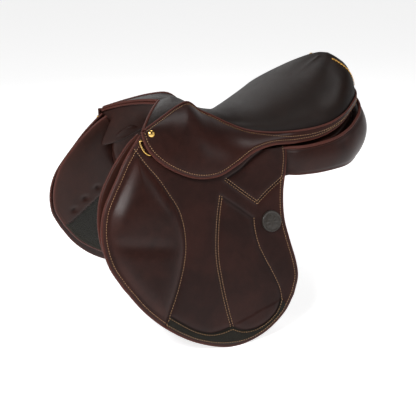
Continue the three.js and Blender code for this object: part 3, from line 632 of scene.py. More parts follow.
def mixed(tree, factor, a, b, blend="MIX"):
    """A colour mix; factor, a and b are sockets or plain values."""
    node = tree.nodes.new("ShaderNodeMix")
    node.data_type = "RGBA"
    node.blend_type = blend
    for socket, value in ((node.inputs[0], factor), (node.inputs[6], a), (node.inputs[7], b)):
        if isinstance(value, bpy.types.NodeSocket):
            tree.links.new(value, socket)
        elif isinstance(value, (int, float)):
            socket.default_value = value
        else:
            socket.default_value = (*value[:3], 1)
    return node.outputs[2]


def ramp(tree, value, low, high):
    """Maps low..high smoothly to 0..1."""
    node = tree.nodes.new("ShaderNodeMapRange")
    node.interpolation_type = "SMOOTHSTEP"
    tree.links.new(value, node.inputs["Value"])
    node.inputs["From Min"].default_value = low
    node.inputs["From Max"].default_value = high
    return node.outputs["Result"]


def leather_group():
    """Grain, pull-up and wear of tanned leather, with painted shade in creases and a painted highlight,
    worked out in metres on the surface.
    """
    group, source, sink = node_group("tanned_leather", [
        ("NodeSocketColor", "Leather", (0.04, 0.02, 0.02, 1)),
        # Worn is the tone of rubbed edges; on the flaps it also paints a highlight along the knee pads.
        ("NodeSocketColor", "Worn", (0.1, 0.05, 0.03, 1)),
        ("NodeSocketFloat", "Grain Scale", 900.0),
        ("NodeSocketFloat", "Grain Depth", 0.4),
        ("NodeSocketFloat", "Gloss", 0.4),
        ("NodeSocketFloat", "Edge", 0.0),
        # The next input marks where shade is painted into seams, creases and dimples.
        ("NodeSocketFloat", "Crease", 0.0),
    ], [("NodeSocketColor", "Colour"), ("NodeSocketFloat", "Roughness"), ("NodeSocketFloat", "Height")])
    links = group.links
    given = source.outputs

    def total(a, b, clamp=False):
        return math_node(group, "ADD", a, b, clamp=clamp)

    def times(a, b):
        return math_node(group, "MULTIPLY", a, b)

    place = add_node(group, "ShaderNodeTexCoord").outputs["Object"]
    cells = add_node(group, "ShaderNodeTexVoronoi", feature="DISTANCE_TO_EDGE")
    links.new(place, cells.inputs["Vector"])
    links.new(given["Grain Scale"], cells.inputs["Scale"])
    pebble = ramp(group, cells.outputs["Distance"], 0.0, 0.32)
    fine = noise(group, place, Scale=2400.0, Detail=4.0, Roughness=0.65)
    cloud = noise(group, place, Scale=14.0, Detail=5.0, Roughness=0.6, Distortion=0.4)
    mottle = noise(group, place, Scale=90.0, Detail=6.0, Roughness=0.7)

    # Large soft clouds of lighter, redder leather, worn edges and, along the knee pads, a painted highlight,
    # then fine mottling.
    share = total(times(ramp(group, cloud, 0.34, 0.68), 0.42), times(given["Edge"], 0.75), clamp=True)
    colour = mixed(group, share, given["Leather"], given["Worn"])
    shade = math_node(group, "MULTIPLY_ADD", mottle, 0.5, 0.72)
    tint = add_node(group, "ShaderNodeCombineColor")
    for channel in range(3):
        links.new(shade, tint.inputs[channel])
    colour = mixed(group, 1.0, colour, tint.outputs[0], "MULTIPLY")
    # The valleys of the grain are darker, and shade is painted into the stitched creases.
    valley = times(math_node(group, "SUBTRACT", 1.0, pebble), 0.3)
    dark = math_node(group, "MAXIMUM", valley, times(given["Crease"], 0.72), clamp=True)
    links.new(mixed(group, dark, colour, (0.006, 0.003, 0.0025)), sink.inputs["Colour"])

    rough = total(times(mottle, 0.16), given["Gloss"])
    rough = total(rough, times(given["Crease"], 0.22), clamp=True)
    links.new(rough, sink.inputs["Roughness"])
    height = total(times(pebble, given["Grain Depth"]), times(fine, 0.05))
    links.new(total(height, times(mottle, 0.5)), sink.inputs["Height"])


def weave_group():
    """Crossing threads, as on webbing and on embossed grip leather."""
    group, source, sink = node_group("crossed_weave", [
        ("NodeSocketColor", "Raised", (0.5, 0.5, 0.4, 1)),
        ("NodeSocketColor", "Sunk", (0.2, 0.2, 0.15, 1)),
        ("NodeSocketFloat", "Threads", 400.0),
    ], [("NodeSocketColor", "Colour"), ("NodeSocketFloat", "Height")])
    links = group.links
    place = add_node(group, "ShaderNodeTexCoord").outputs["Object"]
    split = add_node(group, "ShaderNodeSeparateXYZ")
    links.new(place, split.inputs[0])
    waves = []
    for axis in ("Y", "Z"):
        run = math_node(group, "MULTIPLY", split.outputs[axis], source.outputs["Threads"])
        waves.append(math_node(group, "SINE", math_node(group, "MULTIPLY", run, 2 * np.pi)))
    cross = math_node(group, "MULTIPLY", waves[0], waves[1])
    level = ramp(group, cross, -0.7, 0.7)
    uneven = math_node(group, "ADD", noise(group, place, Scale=160.0, Detail=4.0), 0.35)
    share = math_node(group, "MULTIPLY", level, uneven, clamp=True)
    links.new(mixed(group, share, source.outputs["Sunk"], source.outputs["Raised"]), sink.inputs["Colour"])
    links.new(level, sink.inputs["Height"])


def shader(name, roughness=0.5, metallic=0.0):
    """A new material and its Principled shader."""
    material = bpy.data.materials.new(FINISH_PREFIX + name)
    material.use_nodes = True
    tree = material.node_tree
    surface = tree.nodes["Principled BSDF"]
    surface.inputs["Roughness"].default_value = roughness
    surface.inputs["Metallic"].default_value = metallic
    return material, tree, surface


def bump(tree, height, surface, strength, distance):
    """Raises the surface's shading by a height; distance is in metres."""
    node = add_node(tree, "ShaderNodeBump", Strength=strength, Distance=distance)
    tree.links.new(height, node.inputs["Height"])
    tree.links.new(node.outputs["Normal"], surface.inputs["Normal"])


def worn_and_highlight_tone(colour, lift=2.1):
    """The lighter, redder tone that rubbed leather shows, also used for the painted highlight along the knee
    pads.
    """
    red, green, blue = colour
    return (min(1, red * lift), min(1, green * lift * 0.86), min(1, blue * lift * 0.8))


def placed_group(tree, name, **values):
    """A shared node group with its own values; underscores stand for spaces."""
    node = tree.nodes.new("ShaderNodeGroup")
    node.node_tree = bpy.data.node_groups[name]
    for label, value in values.items():
        node.inputs[label.replace("_", " ")].default_value = value
    return node


def leather(name, colour, grain_scale, grain_depth, gloss, lift=2.1, bump_strength=0.35):
    """A leather finish; lift is how much lighter it is where it is rubbed and where a highlight is painted.
    """
    _, tree, surface = shader(name)
    group = placed_group(tree, "tanned_leather", Leather=(*colour, 1), Worn=(*worn_and_highlight_tone(colour, lift), 1),
                         Grain_Scale=grain_scale, Grain_Depth=grain_depth, Gloss=gloss)
    # The edge mark brings wear and a painted highlight; the crease mark brings painted shade.
    for label in ("Edge", "Crease"):
        mark = add_node(tree, "ShaderNodeAttribute", attribute_name=label.lower())
        tree.links.new(mark.outputs["Fac"], group.inputs[label])
    tree.links.new(group.outputs["Colour"], surface.inputs["Base Color"])
    tree.links.new(group.outputs["Roughness"], surface.inputs["Roughness"])
    surface.inputs["Specular IOR Level"].default_value = LEATHER_SPECULAR
    bump(tree, group.outputs["Height"], surface, bump_strength, GRAIN_HEIGHT)


def woven(name, raised, sunk, threads, roughness, depth):
    """Webbing made of crossed threads."""
    _, tree, surface = shader(name, roughness)
    group = placed_group(tree, "crossed_weave", Raised=(*raised, 1), Sunk=(*sunk, 1), Threads=threads)
    tree.links.new(group.outputs["Colour"], surface.inputs["Base Color"])
    bump(tree, group.outputs["Height"], surface, 0.6, depth)


def speckled(name, low, high, scale, roughness, metallic=0.0, depth=0.0001, stretch=(1, 1, 1)):
    """A finish whose colour and roughness vary with stretched noise: metal, wood, foam or thread."""
    _, tree, surface = shader(name, roughness, metallic)
    mapping = add_node(tree, "ShaderNodeMapping", Scale=stretch)
    tree.links.new(add_node(tree, "ShaderNodeTexCoord").outputs["Object"], mapping.inputs["Vector"])
    speck = noise(tree, mapping.outputs[0], Scale=scale, Detail=5.0, Roughness=0.6)
    level = ramp(tree, speck, 0.3, 0.7)
    tree.links.new(mixed(tree, level, low, high), surface.inputs["Base Color"])
    rough = math_node(tree, "MULTIPLY_ADD", level, 0.14, roughness - 0.07)
    tree.links.new(rough, surface.inputs["Roughness"])
    bump(tree, speck, surface, 0.4, depth)


def make_materials(colours):
    """Every finish, in the colours set in the sidebar."""
    leather_group()
    weave_group()
    leather("flap_leather", colours.flap, 850.0, 0.35, 0.29, lift=2.7)
    leather("seat_leather", colours.seat, 620.0, 0.8, 0.36, lift=1.9, bump_strength=0.5)
    leather("panel_leather", colours.panel, 900.0, 0.3, 0.34, lift=2.3)
    leather("piping_leather", colours.piping, 1000.0, 0.3, 0.42, lift=1.4)
    leather("strap_leather", (0.045, 0.02, 0.013), 1000.0, 0.25, 0.45, lift=2.0)
    leather("grip_leather", colours.grip, 430.0, 4.5, 0.42, lift=2.2, bump_strength=1.0)
    woven("webbing", (0.52, 0.48, 0.38), (0.3, 0.27, 0.2), 450.0, 0.85, 0.0005)
    thread = tuple(colours.thread)
    speckled("thread", tuple(k * 0.7 for k in thread), tuple(min(1, k * 1.3) for k in thread), 700.0, 0.7)
    speckled("gold_thread", (0.62, 0.3, 0.05), (0.95, 0.55, 0.12), 900.0, 0.45)
    speckled("brass", (0.62, 0.36, 0.08), (0.92, 0.62, 0.22), 60.0, 0.24, 1.0, 0.00004)
    speckled("steel", (0.36, 0.37, 0.38), (0.62, 0.62, 0.63), 260.0, 0.32, 1.0, 0.00006, (1, 0.08, 1))
    speckled("beech", (0.34, 0.19, 0.08), (0.56, 0.36, 0.18), 130.0, 0.55, 0.0, 0.0002, (1, 0.06, 1))
    speckled("foam", (0.55, 0.47, 0.28), (0.78, 0.7, 0.48), 500.0, 0.95, 0.0, 0.0008)
    speckled("badge_plastic", (0.016, 0.013, 0.01), (0.04, 0.032, 0.026), 500.0, 0.42, 0.0, 0.0001)


def finish(name):
    """One of the finishes made here."""
    return bpy.data.materials[FINISH_PREFIX + name]


# ---- How pieces join the frame ----


def claim(nodes, side):
    """Hides the CAD nodes that a piece stands for."""
    if nodes:
        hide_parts(*[node.format(side=side) for node in nodes])


def riding(body, slot, *nodes):
    """Rides on one body. Names of bodies and nodes may hold {side}."""
    def attach(obj, side=""):
        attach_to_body(obj, body.format(side=side))
        claim(nodes, side)
    return attach


def fixed(slot, *nodes):
    """Rides on the root."""
    return riding("root", slot, *nodes)


def bending(nodes):
    """Bakes a piece's placement into its mesh and hides the CAD nodes it stands for."""
    def attach(obj, side):
        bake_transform(obj)
        claim(nodes, side)
    return attach


def on_flap(slot, *nodes):
    """Bakes a flap piece in place and hides the flap's CAD nodes that it stands for."""
    return bending(nodes)


def on_skirt(slot, *nodes):
    """Bakes a skirt piece in place and hides the skirt's CAD nodes that it stands for."""
    return bending(nodes)


# ---- The flap and its relief ----


def sideways(path):
    """Unit directions to the left of a [y, z] path."""
    ahead = np.gradient(path, axis=0)
    ahead /= np.linalg.norm(ahead, axis=1, keepdims=True)
    return np.stack([-ahead[:, 1], ahead[:, 0]], 1)


def parallel(path, inset):
    """A [y, z] path moved to its left by an inset."""
    return path + sideways(path) * inset


def knee_outline():
    """Closed [y, z] outline of the knee pad: its seam, and back up beside the flap's front edge."""
    front = spline(FLAP_FRONT[1:] + FLAP_BOTTOM[1:3], 60)
    return np.concatenate([spline(KNEE_SEAM, 60), parallel(front, KNEE_INSET)[::-1]])


def flap_seams():
    """Every seam that pulls the flap's leather in."""
    return [spline(line, 70) for line in
            (KNEE_SEAM, MIDDLE_SEAM, INSERT_TOP, INSERT_REAR, V_SEAM_FRONT, V_SEAM_REAR, V_FOLD,
             GRIP_TOP[1:], GRIP_TOP_REAR)]


def flap_edge_path():
    """The flap's free edge, from the pommel down and round to the back."""
    return np.concatenate([spline(FLAP_FRONT, 120), spline(FLAP_BOTTOM, 140)[1:],
                           spline(FLAP_REAR, 90)[::-1][1:]])


def knee_height(places, shape):
    """Height of the knee pad, and the distance in from its outline."""
    y, z = places[..., 0], places[..., 1]
    outline = knee_outline()
    depth = np.where(inside(places, outline), distance_to(places, even(outline, 260)), 0.0)
    # A full upper roll, a shallow fold across it and a flatter lower roll.
    roll = 0.62 + 0.62 * bell(z - KNEE_ROLL_Z, KNEE_ROLL_REACH)
    fold = 0.32 * bell(z - KNEE_FOLD_Z + 0.18 * (y + 210), KNEE_FOLD_WIDTH)
    fold /= 1 + np.exp((y - KNEE_FOLD_END_Y) / 9)
    rise = 1 - np.exp(-((depth / KNEE_EDGE) ** 1.5))
    return shape.knee_height * rise * (roll - fold), depth


def flap_relief(places, shape):
    """Height of the flap's leather above the flap surface, its mark of painted crease shade, and its edge
    mark of wear and painted highlight.
    """
    height, depth = knee_height(places, shape)
    seam = np.full(depth.shape, np.inf)
    for path in flap_seams():
        seam = np.minimum(seam, distance_to(places, path))
    rim = distance_to(places, flap_edge_path())
    height += 1.3 * (1 - bell(seam, 6.0)) - shape.seam_depth * bell(seam, 1.9)
    # The leather thins towards its edge.
    height -= 1.4 * bell(rim, 3.5)
    insert = inside(places, np.concatenate([spline(MIDDLE_SEAM, 30)[::-1], spline(INSERT_TOP, 12)[1:],
                                            spline(INSERT_REAR, 30)[1:]]))
    height -= 0.7 * insert * (1 - bell(seam, 2.5))
    # Shade is painted into every seam and into the crease just in from the thinned rim.
    crease = np.maximum(bell(seam, 2.0), 0.7 * bell(rim - 3.0, 1.6))
    # Edge mark: wear along the rim, and a painted highlight just inside the knee pad's outline.
    edge = np.maximum(bell(rim, 7.0), 0.45 * bell(depth - 5, 7) * (depth > 0.1))
    return height, crease, edge


def flap_points(path, shape, lift):
    """[y, z] path raised onto the flap's leather, with outward directions."""
    y, z = path.T
    height = flap_relief(path[None], shape)[0][0]
    out = flap_normals(y, z)
    return on_flap_surface(y, z, height) + out * lift, out


def flap_normals(y, z):
    """Outward directions of the flap surface."""
    step = 1.0
    slope_y = (flap_x(y + step, z) - flap_x(y - step, z)) / (2 * step)
    slope_z = (flap_x(y, z + step) - flap_x(y, z - step)) / (2 * step)
    out = np.stack([np.ones_like(slope_y), -slope_y, -slope_z], -1)
    return out / np.linalg.norm(out, axis=-1, keepdims=True)


def flap_frame(y, z):
    """Outward, along and up directions at one place on the flap."""
    out = flap_normals(np.array(y), np.array(z))
    along = np.cross([0, 0, 1.0], out)
    along /= np.linalg.norm(along)
    return out, along, np.cross(out, along)


def build_flaps(shape):
    """Each flap with its knee pad, rolled edge, stitching, grip band and badge."""
    columns, rows = ((170, 176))
    places = coons(FLAP_TOP, FLAP_BOTTOM, FLAP_FRONT, FLAP_REAR, columns, rows)
    y, z = places[..., 0], places[..., 1]
    height, crease, edge = flap_relief(places, shape)
    worn_back = 0.3 * bell(distance_to(places, flap_edge_path()), 6)
    body = body_between(on_flap_surface(y, z, height), on_flap_surface(y, z, -LEATHER))
    on_both_sides("flap_leather", body, finish("flap_leather"),
                  on_flap("flap_leather", "flap_{side}", "flap_top_{side}", "knee_pad_{side}"),
                  face_marks(crease, edge, back_edge=worn_back))

    rim = even(flap_edge_path(), 260)
    welt = on_flap_surface(rim[:, 0], rim[:, 1], -LEATHER / 2)
    on_both_sides("flap_welt", tube_body(welt, shape.welt_radius + 0.5), finish("piping_leather"),
                  on_flap("piping_leather"))

    # Each seam with its number of points and how far to its left the thread runs.
    threads = [(KNEE_SEAM, 120, 2.2), (INSERT_REAR, 70, 2.2)]
    for seam, count, inset in ((MIDDLE_SEAM, 90, 2.4), (V_SEAM_FRONT, 30, 2.0), (V_SEAM_REAR, 30, 2.0)):
        threads += [(seam, count, -inset), (seam, count, inset)]
    lines = [parallel(even(flap_edge_path(), 300), EDGE_STITCH)]
    lines += [parallel(spline(seam, count), inset) for seam, count, inset in threads]
    paths = [flap_points(line, shape, THREAD_LIFT) for line in lines]
    on_both_sides("flap_stitching", stitch_bodies(paths, shape), finish("thread"), on_flap("flap_leather"))
    build_grip_bands(shape)
    build_badges()


def build_grip_bands(shape):
    """The embossed dark band along the bottom of each flap, sewn on at both edges."""
    columns = 120
    upper = even(np.concatenate([spline(GRIP_TOP[1:], 60), spline(GRIP_TOP_REAR, 61)[1:]]), columns)
    lower = spline(GRIP_LOW, columns)
    v = np.linspace(0, 1, 9)[:, None, None]
    places = upper[None] * (1 - v) + lower[None] * v
    y, z = places[..., 0], places[..., 1]
    height = flap_relief(places, shape)[0]
    rise = 1.5 * (1 - np.abs(2 * v[..., 0] - 1) ** 6)
    body = body_between(on_flap_surface(y, z, height + 0.5 + rise), on_flap_surface(y, z, -1.0))
    on_both_sides("grip_band", body, finish("grip_leather"), on_flap("grip_rubber", "grip_strip_{side}"))
    paths = []
    for place in (0.14, 0.88):
        y, z = (upper * (1 - place) + lower * place).T
        height = flap_relief(np.stack([y, z], 1)[None], shape)[0][0]
        paths.append((on_flap_surface(y, z, height + 2.1), flap_normals(y, z)))
    on_both_sides("grip_stitching", stitch_bodies(paths, shape), finish("thread"), on_flap("grip_rubber"))


def build_badges():
    """A low round dome with a raised rim and a plain eight-petal rosette."""
    rings, spokes = 26, 64
    radius = np.linspace(0, 1, rings)[:, None]
    angle = np.linspace(0, 2 * np.pi, spokes, endpoint=False)
    rim = 1.5 * bell(radius - 0.9, 0.06)
    dome = 1.6 * (1 - radius**2)
    petals = 0.7 * bell(radius - 0.42, 0.2) * np.cos(4 * angle) ** 2
    height = np.where(radius > 0.97, 0.4, 2.2 + rim + dome + petals)
    out, along, up = flap_frame(*BADGE_PLACE)
    centre = on_flap_surface(*np.array(BADGE_PLACE), 1.0)
    circles = [centre + round_section(BADGE_RADIUS * reach, angle, along, up) + level[:, None] * out
               for reach, level in zip(radius[:, 0], height)]
    on_both_sides("badge_dome", dome_body(circles[0][0], circles[1:]), finish("badge_plastic"),
                  riding("flap_{side}", "badge_plastic", "badge_{side}"))


# ---- Seat ----


def seat_point(u, v):
    """Top of the seat: u from pommel to cantle, v from the centre line to the near seam."""
    u, v = np.broadcast_arrays(np.asarray(u, float), np.asarray(v, float))
    middle = spline_at([[0, *p] for p in SPINE], u)
    edge = spline_at(SEAM, u)
    rise = through(SEAT_SWELL)(u) * np.sin(np.pi * np.minimum(1, v * 1.4)) ** 2
    fall = 1 - (1 - v ** through(SEAT_POWER)(u)) ** (1 / through(SEAT_ROUND)(u))
    return np.stack([edge[..., 0] * v, middle[..., 1] + (edge[..., 1] - middle[..., 1]) * v,
                     middle[..., 2] + (edge[..., 2] - middle[..., 2]) * fall + rise], -1)


def across(points_near):
    """A grid (rows along the saddle, columns out from the centre) continued to the off side."""
    off = points_near[:, :0:-1] * [-1, 1, 1]
    return np.concatenate([off, points_near], axis=1)


def build_seat(shape):
    """The seat leather over its foam, the welts round it, and the facing of the pommel."""
    rows, columns = 120, 44
    u = np.linspace(0, SEAT_END, rows)[:, None]
    # Columns crowd towards the seam, where the leather turns down.
    v = np.sin(np.linspace(0, 1, columns)[None] * np.pi / 2)
    face = across(seat_point(u, v))
    # Shade is painted along each side of the seat, where the leather turns down to the seam.
    seam_shade_mark = np.broadcast_to(bell((1 - v) * 90, 6.0), (rows, columns))
    seam_shade_mark = np.concatenate([seam_shade_mark[:, :0:-1], seam_shade_mark], axis=1)
    front_mark = 0.8 * bell(np.arange(rows)[:, None] * 3.4, 6.0) * np.ones((1, face.shape[1]))
    seat = make_object("seat_leather", *body_between(face, face - [0, 0, SEAT_LEATHER]),
                       finish("seat_leather"), face_marks(seam_shade_mark, front_mark))
    fixed("seat_leather", "seat_cover")(seat)

    foam_top = across(seat_point(np.linspace(0.1, 0.96, 50)[:, None], np.linspace(0, 0.84, 20)[None]))
    foam_top = foam_top - [0, 0, FOAM_DEPTH]
    foam_body = body_between(foam_top, foam_top - [0, 0, FOAM_THICK])
    foam = make_object("seat_foam_pad", *foam_body, finish("foam"))
    fixed("foam", "seat_foam")(foam)

    seam = spline_at(SEAM, np.linspace(0, SEAT_END, 200))
    welt = seam + outward_of(seam) * 2.6 + [0, 0, 0.3]
    on_both_sides("seat_welt", tube_body(welt, shape.welt_radius + 0.2), finish("piping_leather"),
                  fixed("piping_leather", "seat_piping_{side}"))
    build_pommel()
    build_cantle_embroidery()


def build_pommel():
    """Two welts along the front edge of the pommel, and the leather that faces the arch below them."""
    front = seat_point(np.zeros(60), np.linspace(0, 1, 60))
    ahead = np.array([0, -1.0, 0])
    for index, (step, drop, size) in enumerate(POMMEL_WELTS):
        path = front + ahead * step + [0, 0, drop]
        on_both_sides(f"pommel_welt_{index + 1}", tube_body(path, size), finish("piping_leather"),
                      fixed("piping_leather"))
    w = np.linspace(0, 1, 16)[:, None, None]
    facing = front[None] * (1 - w) + spline(POMMEL_LINING_LOW, 60)[None] * w + ahead * 4.0 * np.sin(np.pi * w)
    on_both_sides("pommel_facing", body_between(facing + [0, 1.5, -3], facing + [0, 4.0, -3]),
                  finish("panel_leather"), fixed("panel_leather"))


def outward_of(path):
    """Level outward directions beside a path that runs from pommel to cantle on the near side."""
    ahead = np.gradient(path, axis=0)
    out = np.stack([ahead[:, 1], -ahead[:, 0], np.zeros(len(path))], 1)
    return out / np.linalg.norm(out, axis=1, keepdims=True)


def build_cantle_embroidery():
    """A plain column of small gold lozenges over the rear of the cantle on each side."""
    v = np.linspace(*EMBROIDERY_V, 240)
    line = seat_point(EMBROIDERY_U, v)
    step_back = seat_point(EMBROIDERY_U + 0.01, v) - line
    centres = even(line, LOZENGES)
    rearward = even(np.hstack([line, step_back]), LOZENGES)[:, 3:]
    bodies = []
    for centre, ahead, beside in zip(centres, np.gradient(centres, axis=0), rearward):
        ahead = ahead / np.linalg.norm(ahead)
        beside = beside - ahead * (beside @ ahead)
        beside /= np.linalg.norm(beside)
        out = np.cross(beside, ahead)
        out *= 1 if out[2] + out[0] > 0 else -1
        corners = [centre + out * 0.8 + ahead * a * LOZENGE_LENGTH + beside * b * LOZENGE_WIDTH
                   for a, b in ((1, 0), (0, 1), (-1, 0), (0, -1), (1, 0))]
        for start, end in zip(corners[:-1], corners[1:]):
            bodies.append(tube_body(np.linspace(start, end, 4), GOLD_THREAD, 6))
    on_both_sides("cantle_embroidery", joined_bodies(bodies), finish("gold_thread"), fixed("seat_leather"))


# ---- Skirts ----


def skirt_point(u, v):
    """Outer face of the skirt and its tail: u along the seam, v from the seam to the free edge."""
    u, v = np.broadcast_arrays(np.asarray(u, float), np.asarray(v, float))
    seam = spline_at(SEAM, u)
    rim = spline_at(SKIRT_RIM, u)
    samples = 400
    outward = outward_of(spline_at(SEAM, np.linspace(0, 1, samples)))
    out = outward[np.clip((u * (samples - 1)).astype(int), 0, samples - 1)]
    last = len(SKIRT_CROWN) - 1
    crown = through([[k / last, value] for k, value in enumerate(SKIRT_CROWN)])(u)[..., None]
    start = seam + out * 3.2 - [0, 0, 0.8]
    # The leather leaves the seam level, rolls over the bar and hangs down to its edge.
    lifted = (start + rim) / 2 + crown * (out * 0.75 + np.array([0, 0, 0.72]))
    middle = 2 * lifted - (start + rim) / 2
    w = v[..., None]
    return start * (1 - w) ** 2 + middle * 2 * w * (1 - w) + rim * w**2


def build_skirts(shape):
    """Each skirt and its tail, with the rolled edge and two rows of stitches."""
    rows, columns = 44, 240
    v = np.linspace(0, 1, rows)[:, None]
    u = np.linspace(0, 0.9985, columns)[None]
    base = skirt_point(u, v)
    down = np.gradient(base, axis=0)
    out = np.cross(down, np.gradient(base, axis=1))
    out /= np.maximum(np.linalg.norm(out, axis=-1, keepdims=True), 1e-9)
    out *= np.sign((out * [1, 0, 0.4]).sum(-1, keepdims=True))
    run = np.cumsum(np.linalg.norm(down, axis=-1), axis=0)
    from_rim = run[-1:] - run
    height = (-1.2 * bell(from_rim, 2.5) - 0.9 * bell(from_rim - RIM_STITCH, 1.5)
              - 0.6 * bell(run - SEAM_STITCH, 1.5))
    face = base + out * height[..., None]
    back = base - out * SKIRT_LEATHER
    # Shade is painted along both stitch lines and along the seam under the welt.
    crease = np.maximum(0.8 * bell(from_rim - RIM_STITCH, 1.4), 0.7 * bell(run - SEAM_STITCH, 1.4))
    crease = np.maximum(crease, 0.9 * bell(run, 2.0))
    edge = np.maximum(bell(from_rim, 6.0), 0.25 * bell(np.minimum(from_rim, run), 14))
    on_both_sides("skirt_leather", body_between(face, back), finish("flap_leather"),
                  on_skirt("flap_leather", "skirt_{side}", "skirt_band_{side}"), face_marks(crease, edge))

    middle = (face + back) / 2
    welt = even(np.concatenate([middle[6:-1, 0], middle[-1]]), 300)
    on_both_sides("skirt_welt", tube_body(welt, shape.welt_radius + 0.15), finish("piping_leather"),
                  on_skirt("piping_leather"))
    paths = [skirt_line(face, out, run, SEAM_STITCH), skirt_line(face, out, from_rim, RIM_STITCH)]
    on_both_sides("skirt_stitching", stitch_bodies(paths, shape), finish("thread"), on_skirt("flap_leather"))


def skirt_line(face, out, measure, distance):
    """The line on the skirt at a set distance, by a measure in from the seam or from the free edge."""
    rows, columns = measure.shape
    points, facing = [], []
    for k in range(4, columns):
        column = measure[:, k]
        order = np.argsort(column)
        row = np.interp(min(distance, column.max() * 0.45), column[order], order.astype(float))
        low = int(np.clip(row, 0, rows - 2))
        part = row - low
        points.append(face[low, k] * (1 - part) + face[low + 1, k] * part)
        facing.append(out[low, k])
    return np.array(points) + np.array(facing) * 0.25, np.array(facing)


# ---- Sweat flaps ----


def build_sweat_flaps(shape):
    """Each inner flap: padded and dimpled on the horse's side, with grip leather low down."""
    columns, rows = 110, 110
    places = coons(SWEAT_TOP, SWEAT_BOTTOM, SWEAT_FRONT, SWEAT_REAR, columns, rows)
    y, z = places[..., 0], places[..., 1]
    edge_path = np.concatenate([spline(SWEAT_FRONT, 100), spline(SWEAT_BOTTOM, 120)[1:],
                                spline(SWEAT_REAR, 80)[::-1][1:]])
    rim = distance_to(places, edge_path)
    line = spline(GRIP_LINE, 60)
    seam = distance_to(places, line)
    below = z < np.interp(y, line[::-1, 0], line[::-1, 1])
    # Soft padding towards the front, thinner under the grip leather.
    puff = PADDING * (1 - np.exp(-((rim / 16) ** 1.4))) * np.exp(-(((y + 215) / 60) ** 2)) * (z > -200)
    puff = np.where(below, 0.4 * puff, puff) - 1.2 * bell(seam, 2.0)
    # Shade is painted on the horse's side into the grip seam, a line in from the rim and the dimples.
    crease = np.maximum(bell(seam, 2.2), 0.5 * bell(rim - 5, 1.5))
    for place_y, place_z in DIMPLES:
        reach = np.hypot(y - place_y, 1.3 * (z - place_z))
        puff -= DIMPLE_DEPTH * bell(reach, 7.0)
        crease = np.maximum(crease, 0.9 * bell(reach, 5.0))
    body = body_between(on_flap_surface(y, z, SWEAT_OUT),
                        on_flap_surface(y, z, SWEAT_OUT - SWEAT_THICK - puff))
    edge = bell(rim, 7)
    made = on_both_sides("sweat_flap_leather", body, finish("panel_leather"),
                         fixed("panel_leather", "sweat_flap_{side}"),
                         face_marks(np.zeros(crease.shape), edge, crease, edge))
    # The back grid's cells follow the front's.
    first = (rows - 1) * (columns - 1)
    low_cells = np.flatnonzero(below[:-1, :-1] & below[1:, 1:])
    for obj in made.values():
        obj.data.materials.append(finish("grip_leather"))
        for index in low_cells:
            obj.data.polygons[first + int(index)].material_index = 1
    path = even(edge_path, 260)
    welt = on_flap_surface(path[:, 0], path[:, 1], SWEAT_OUT - SWEAT_THICK / 2)
    on_both_sides("sweat_flap_welt", tube_body(welt, shape.welt_radius + 0.6), finish("piping_leather"),
                  fixed("piping_leather"))
    build_thigh_rolls()


def build_thigh_rolls():
    """A slim stuffed roll on each sweat flap, behind the rider's leg."""
    u = np.linspace(0, 1, 40)[:, None]
    v = np.linspace(0, 1, 16)[None]
    w = v[..., None]
    places = spline(ROLL_FRONT, 40)[:, None] * (1 - w) + spline(ROLL_REAR, 40)[:, None] * w
    y, z = places[..., 0], places[..., 1]
    swell = ROLL_FULLNESS * (np.sin(np.pi * v) ** 0.6) * (np.sin(np.pi * u) ** 0.35)
    body = body_between(on_flap_surface(y, z, SWEAT_OUT + 0.6 + swell),
                        on_flap_surface(y, z, SWEAT_OUT + 0.3))
    blocks = on_both_sides("thigh_roll", body, finish("panel_leather"),
                           fixed("panel_leather", "thigh_block_{side}"))


# ---- Panels ----


def corner(stations, y):
    """One corner line of the panel's section, read at places along the saddle."""
    table = np.asarray(stations, float)
    return np.stack([through(table[:, [0, 1]])(y), y, through(table[:, [0, 2]])(y)], -1)


def build_panels():
    """The cushions, their rear gussets and piping, and the leather that joins them."""
    build_cushions()
    build_gussets()
    build_bridges()


def build_cushions():
    """Stuffed panels: a rounded section between four corner lines, with a rounded nose at each end."""
    count, per_side = 110, 14
    y = np.linspace(PANEL_START, PANEL_END, count)
    corners = [corner(s, y) for s in (PANEL_CHANNEL_TOP, PANEL_OUTER_TOP, PANEL_OUTER_LOW, PANEL_CHANNEL_LOW)]
    centre = sum(corners) / 4
    loop = [a * (1 - part) + b * part for a, b in zip(corners, corners[1:] + corners[:1])
            for part in np.linspace(0, 1, per_side, endpoint=False)]
    loop = np.stack(loop, 1)
    # Rounds the corners of the section.
    for _ in range(3):
        loop = (np.roll(loop, 1, axis=1) + np.roll(loop, -1, axis=1) + 2 * loop) / 4
    to_end = np.clip(np.minimum(y - PANEL_START, PANEL_END - y) / PANEL_NOSE, 0, 1)
    swell = 1.05 * np.sqrt(1 - 0.94 * (1 - to_end) ** 2)[:, None]
    loop = centre[:, None] + (loop - centre[:, None]) * np.stack([swell, np.ones_like(swell), swell], -1)
    around = loop.shape[1]
    vertices = loop.reshape(-1, 3)
    faces = ring_faces(count, around)
    faces.append(list(range(around))[::-1])
    faces.append([(count - 1) * around + k for k in range(around)])
    made = on_both_sides("panel_cushion", (vertices, turned_out(vertices, faces)), finish("panel_leather"),
                         fixed("panel_leather", "panel_{side}"))


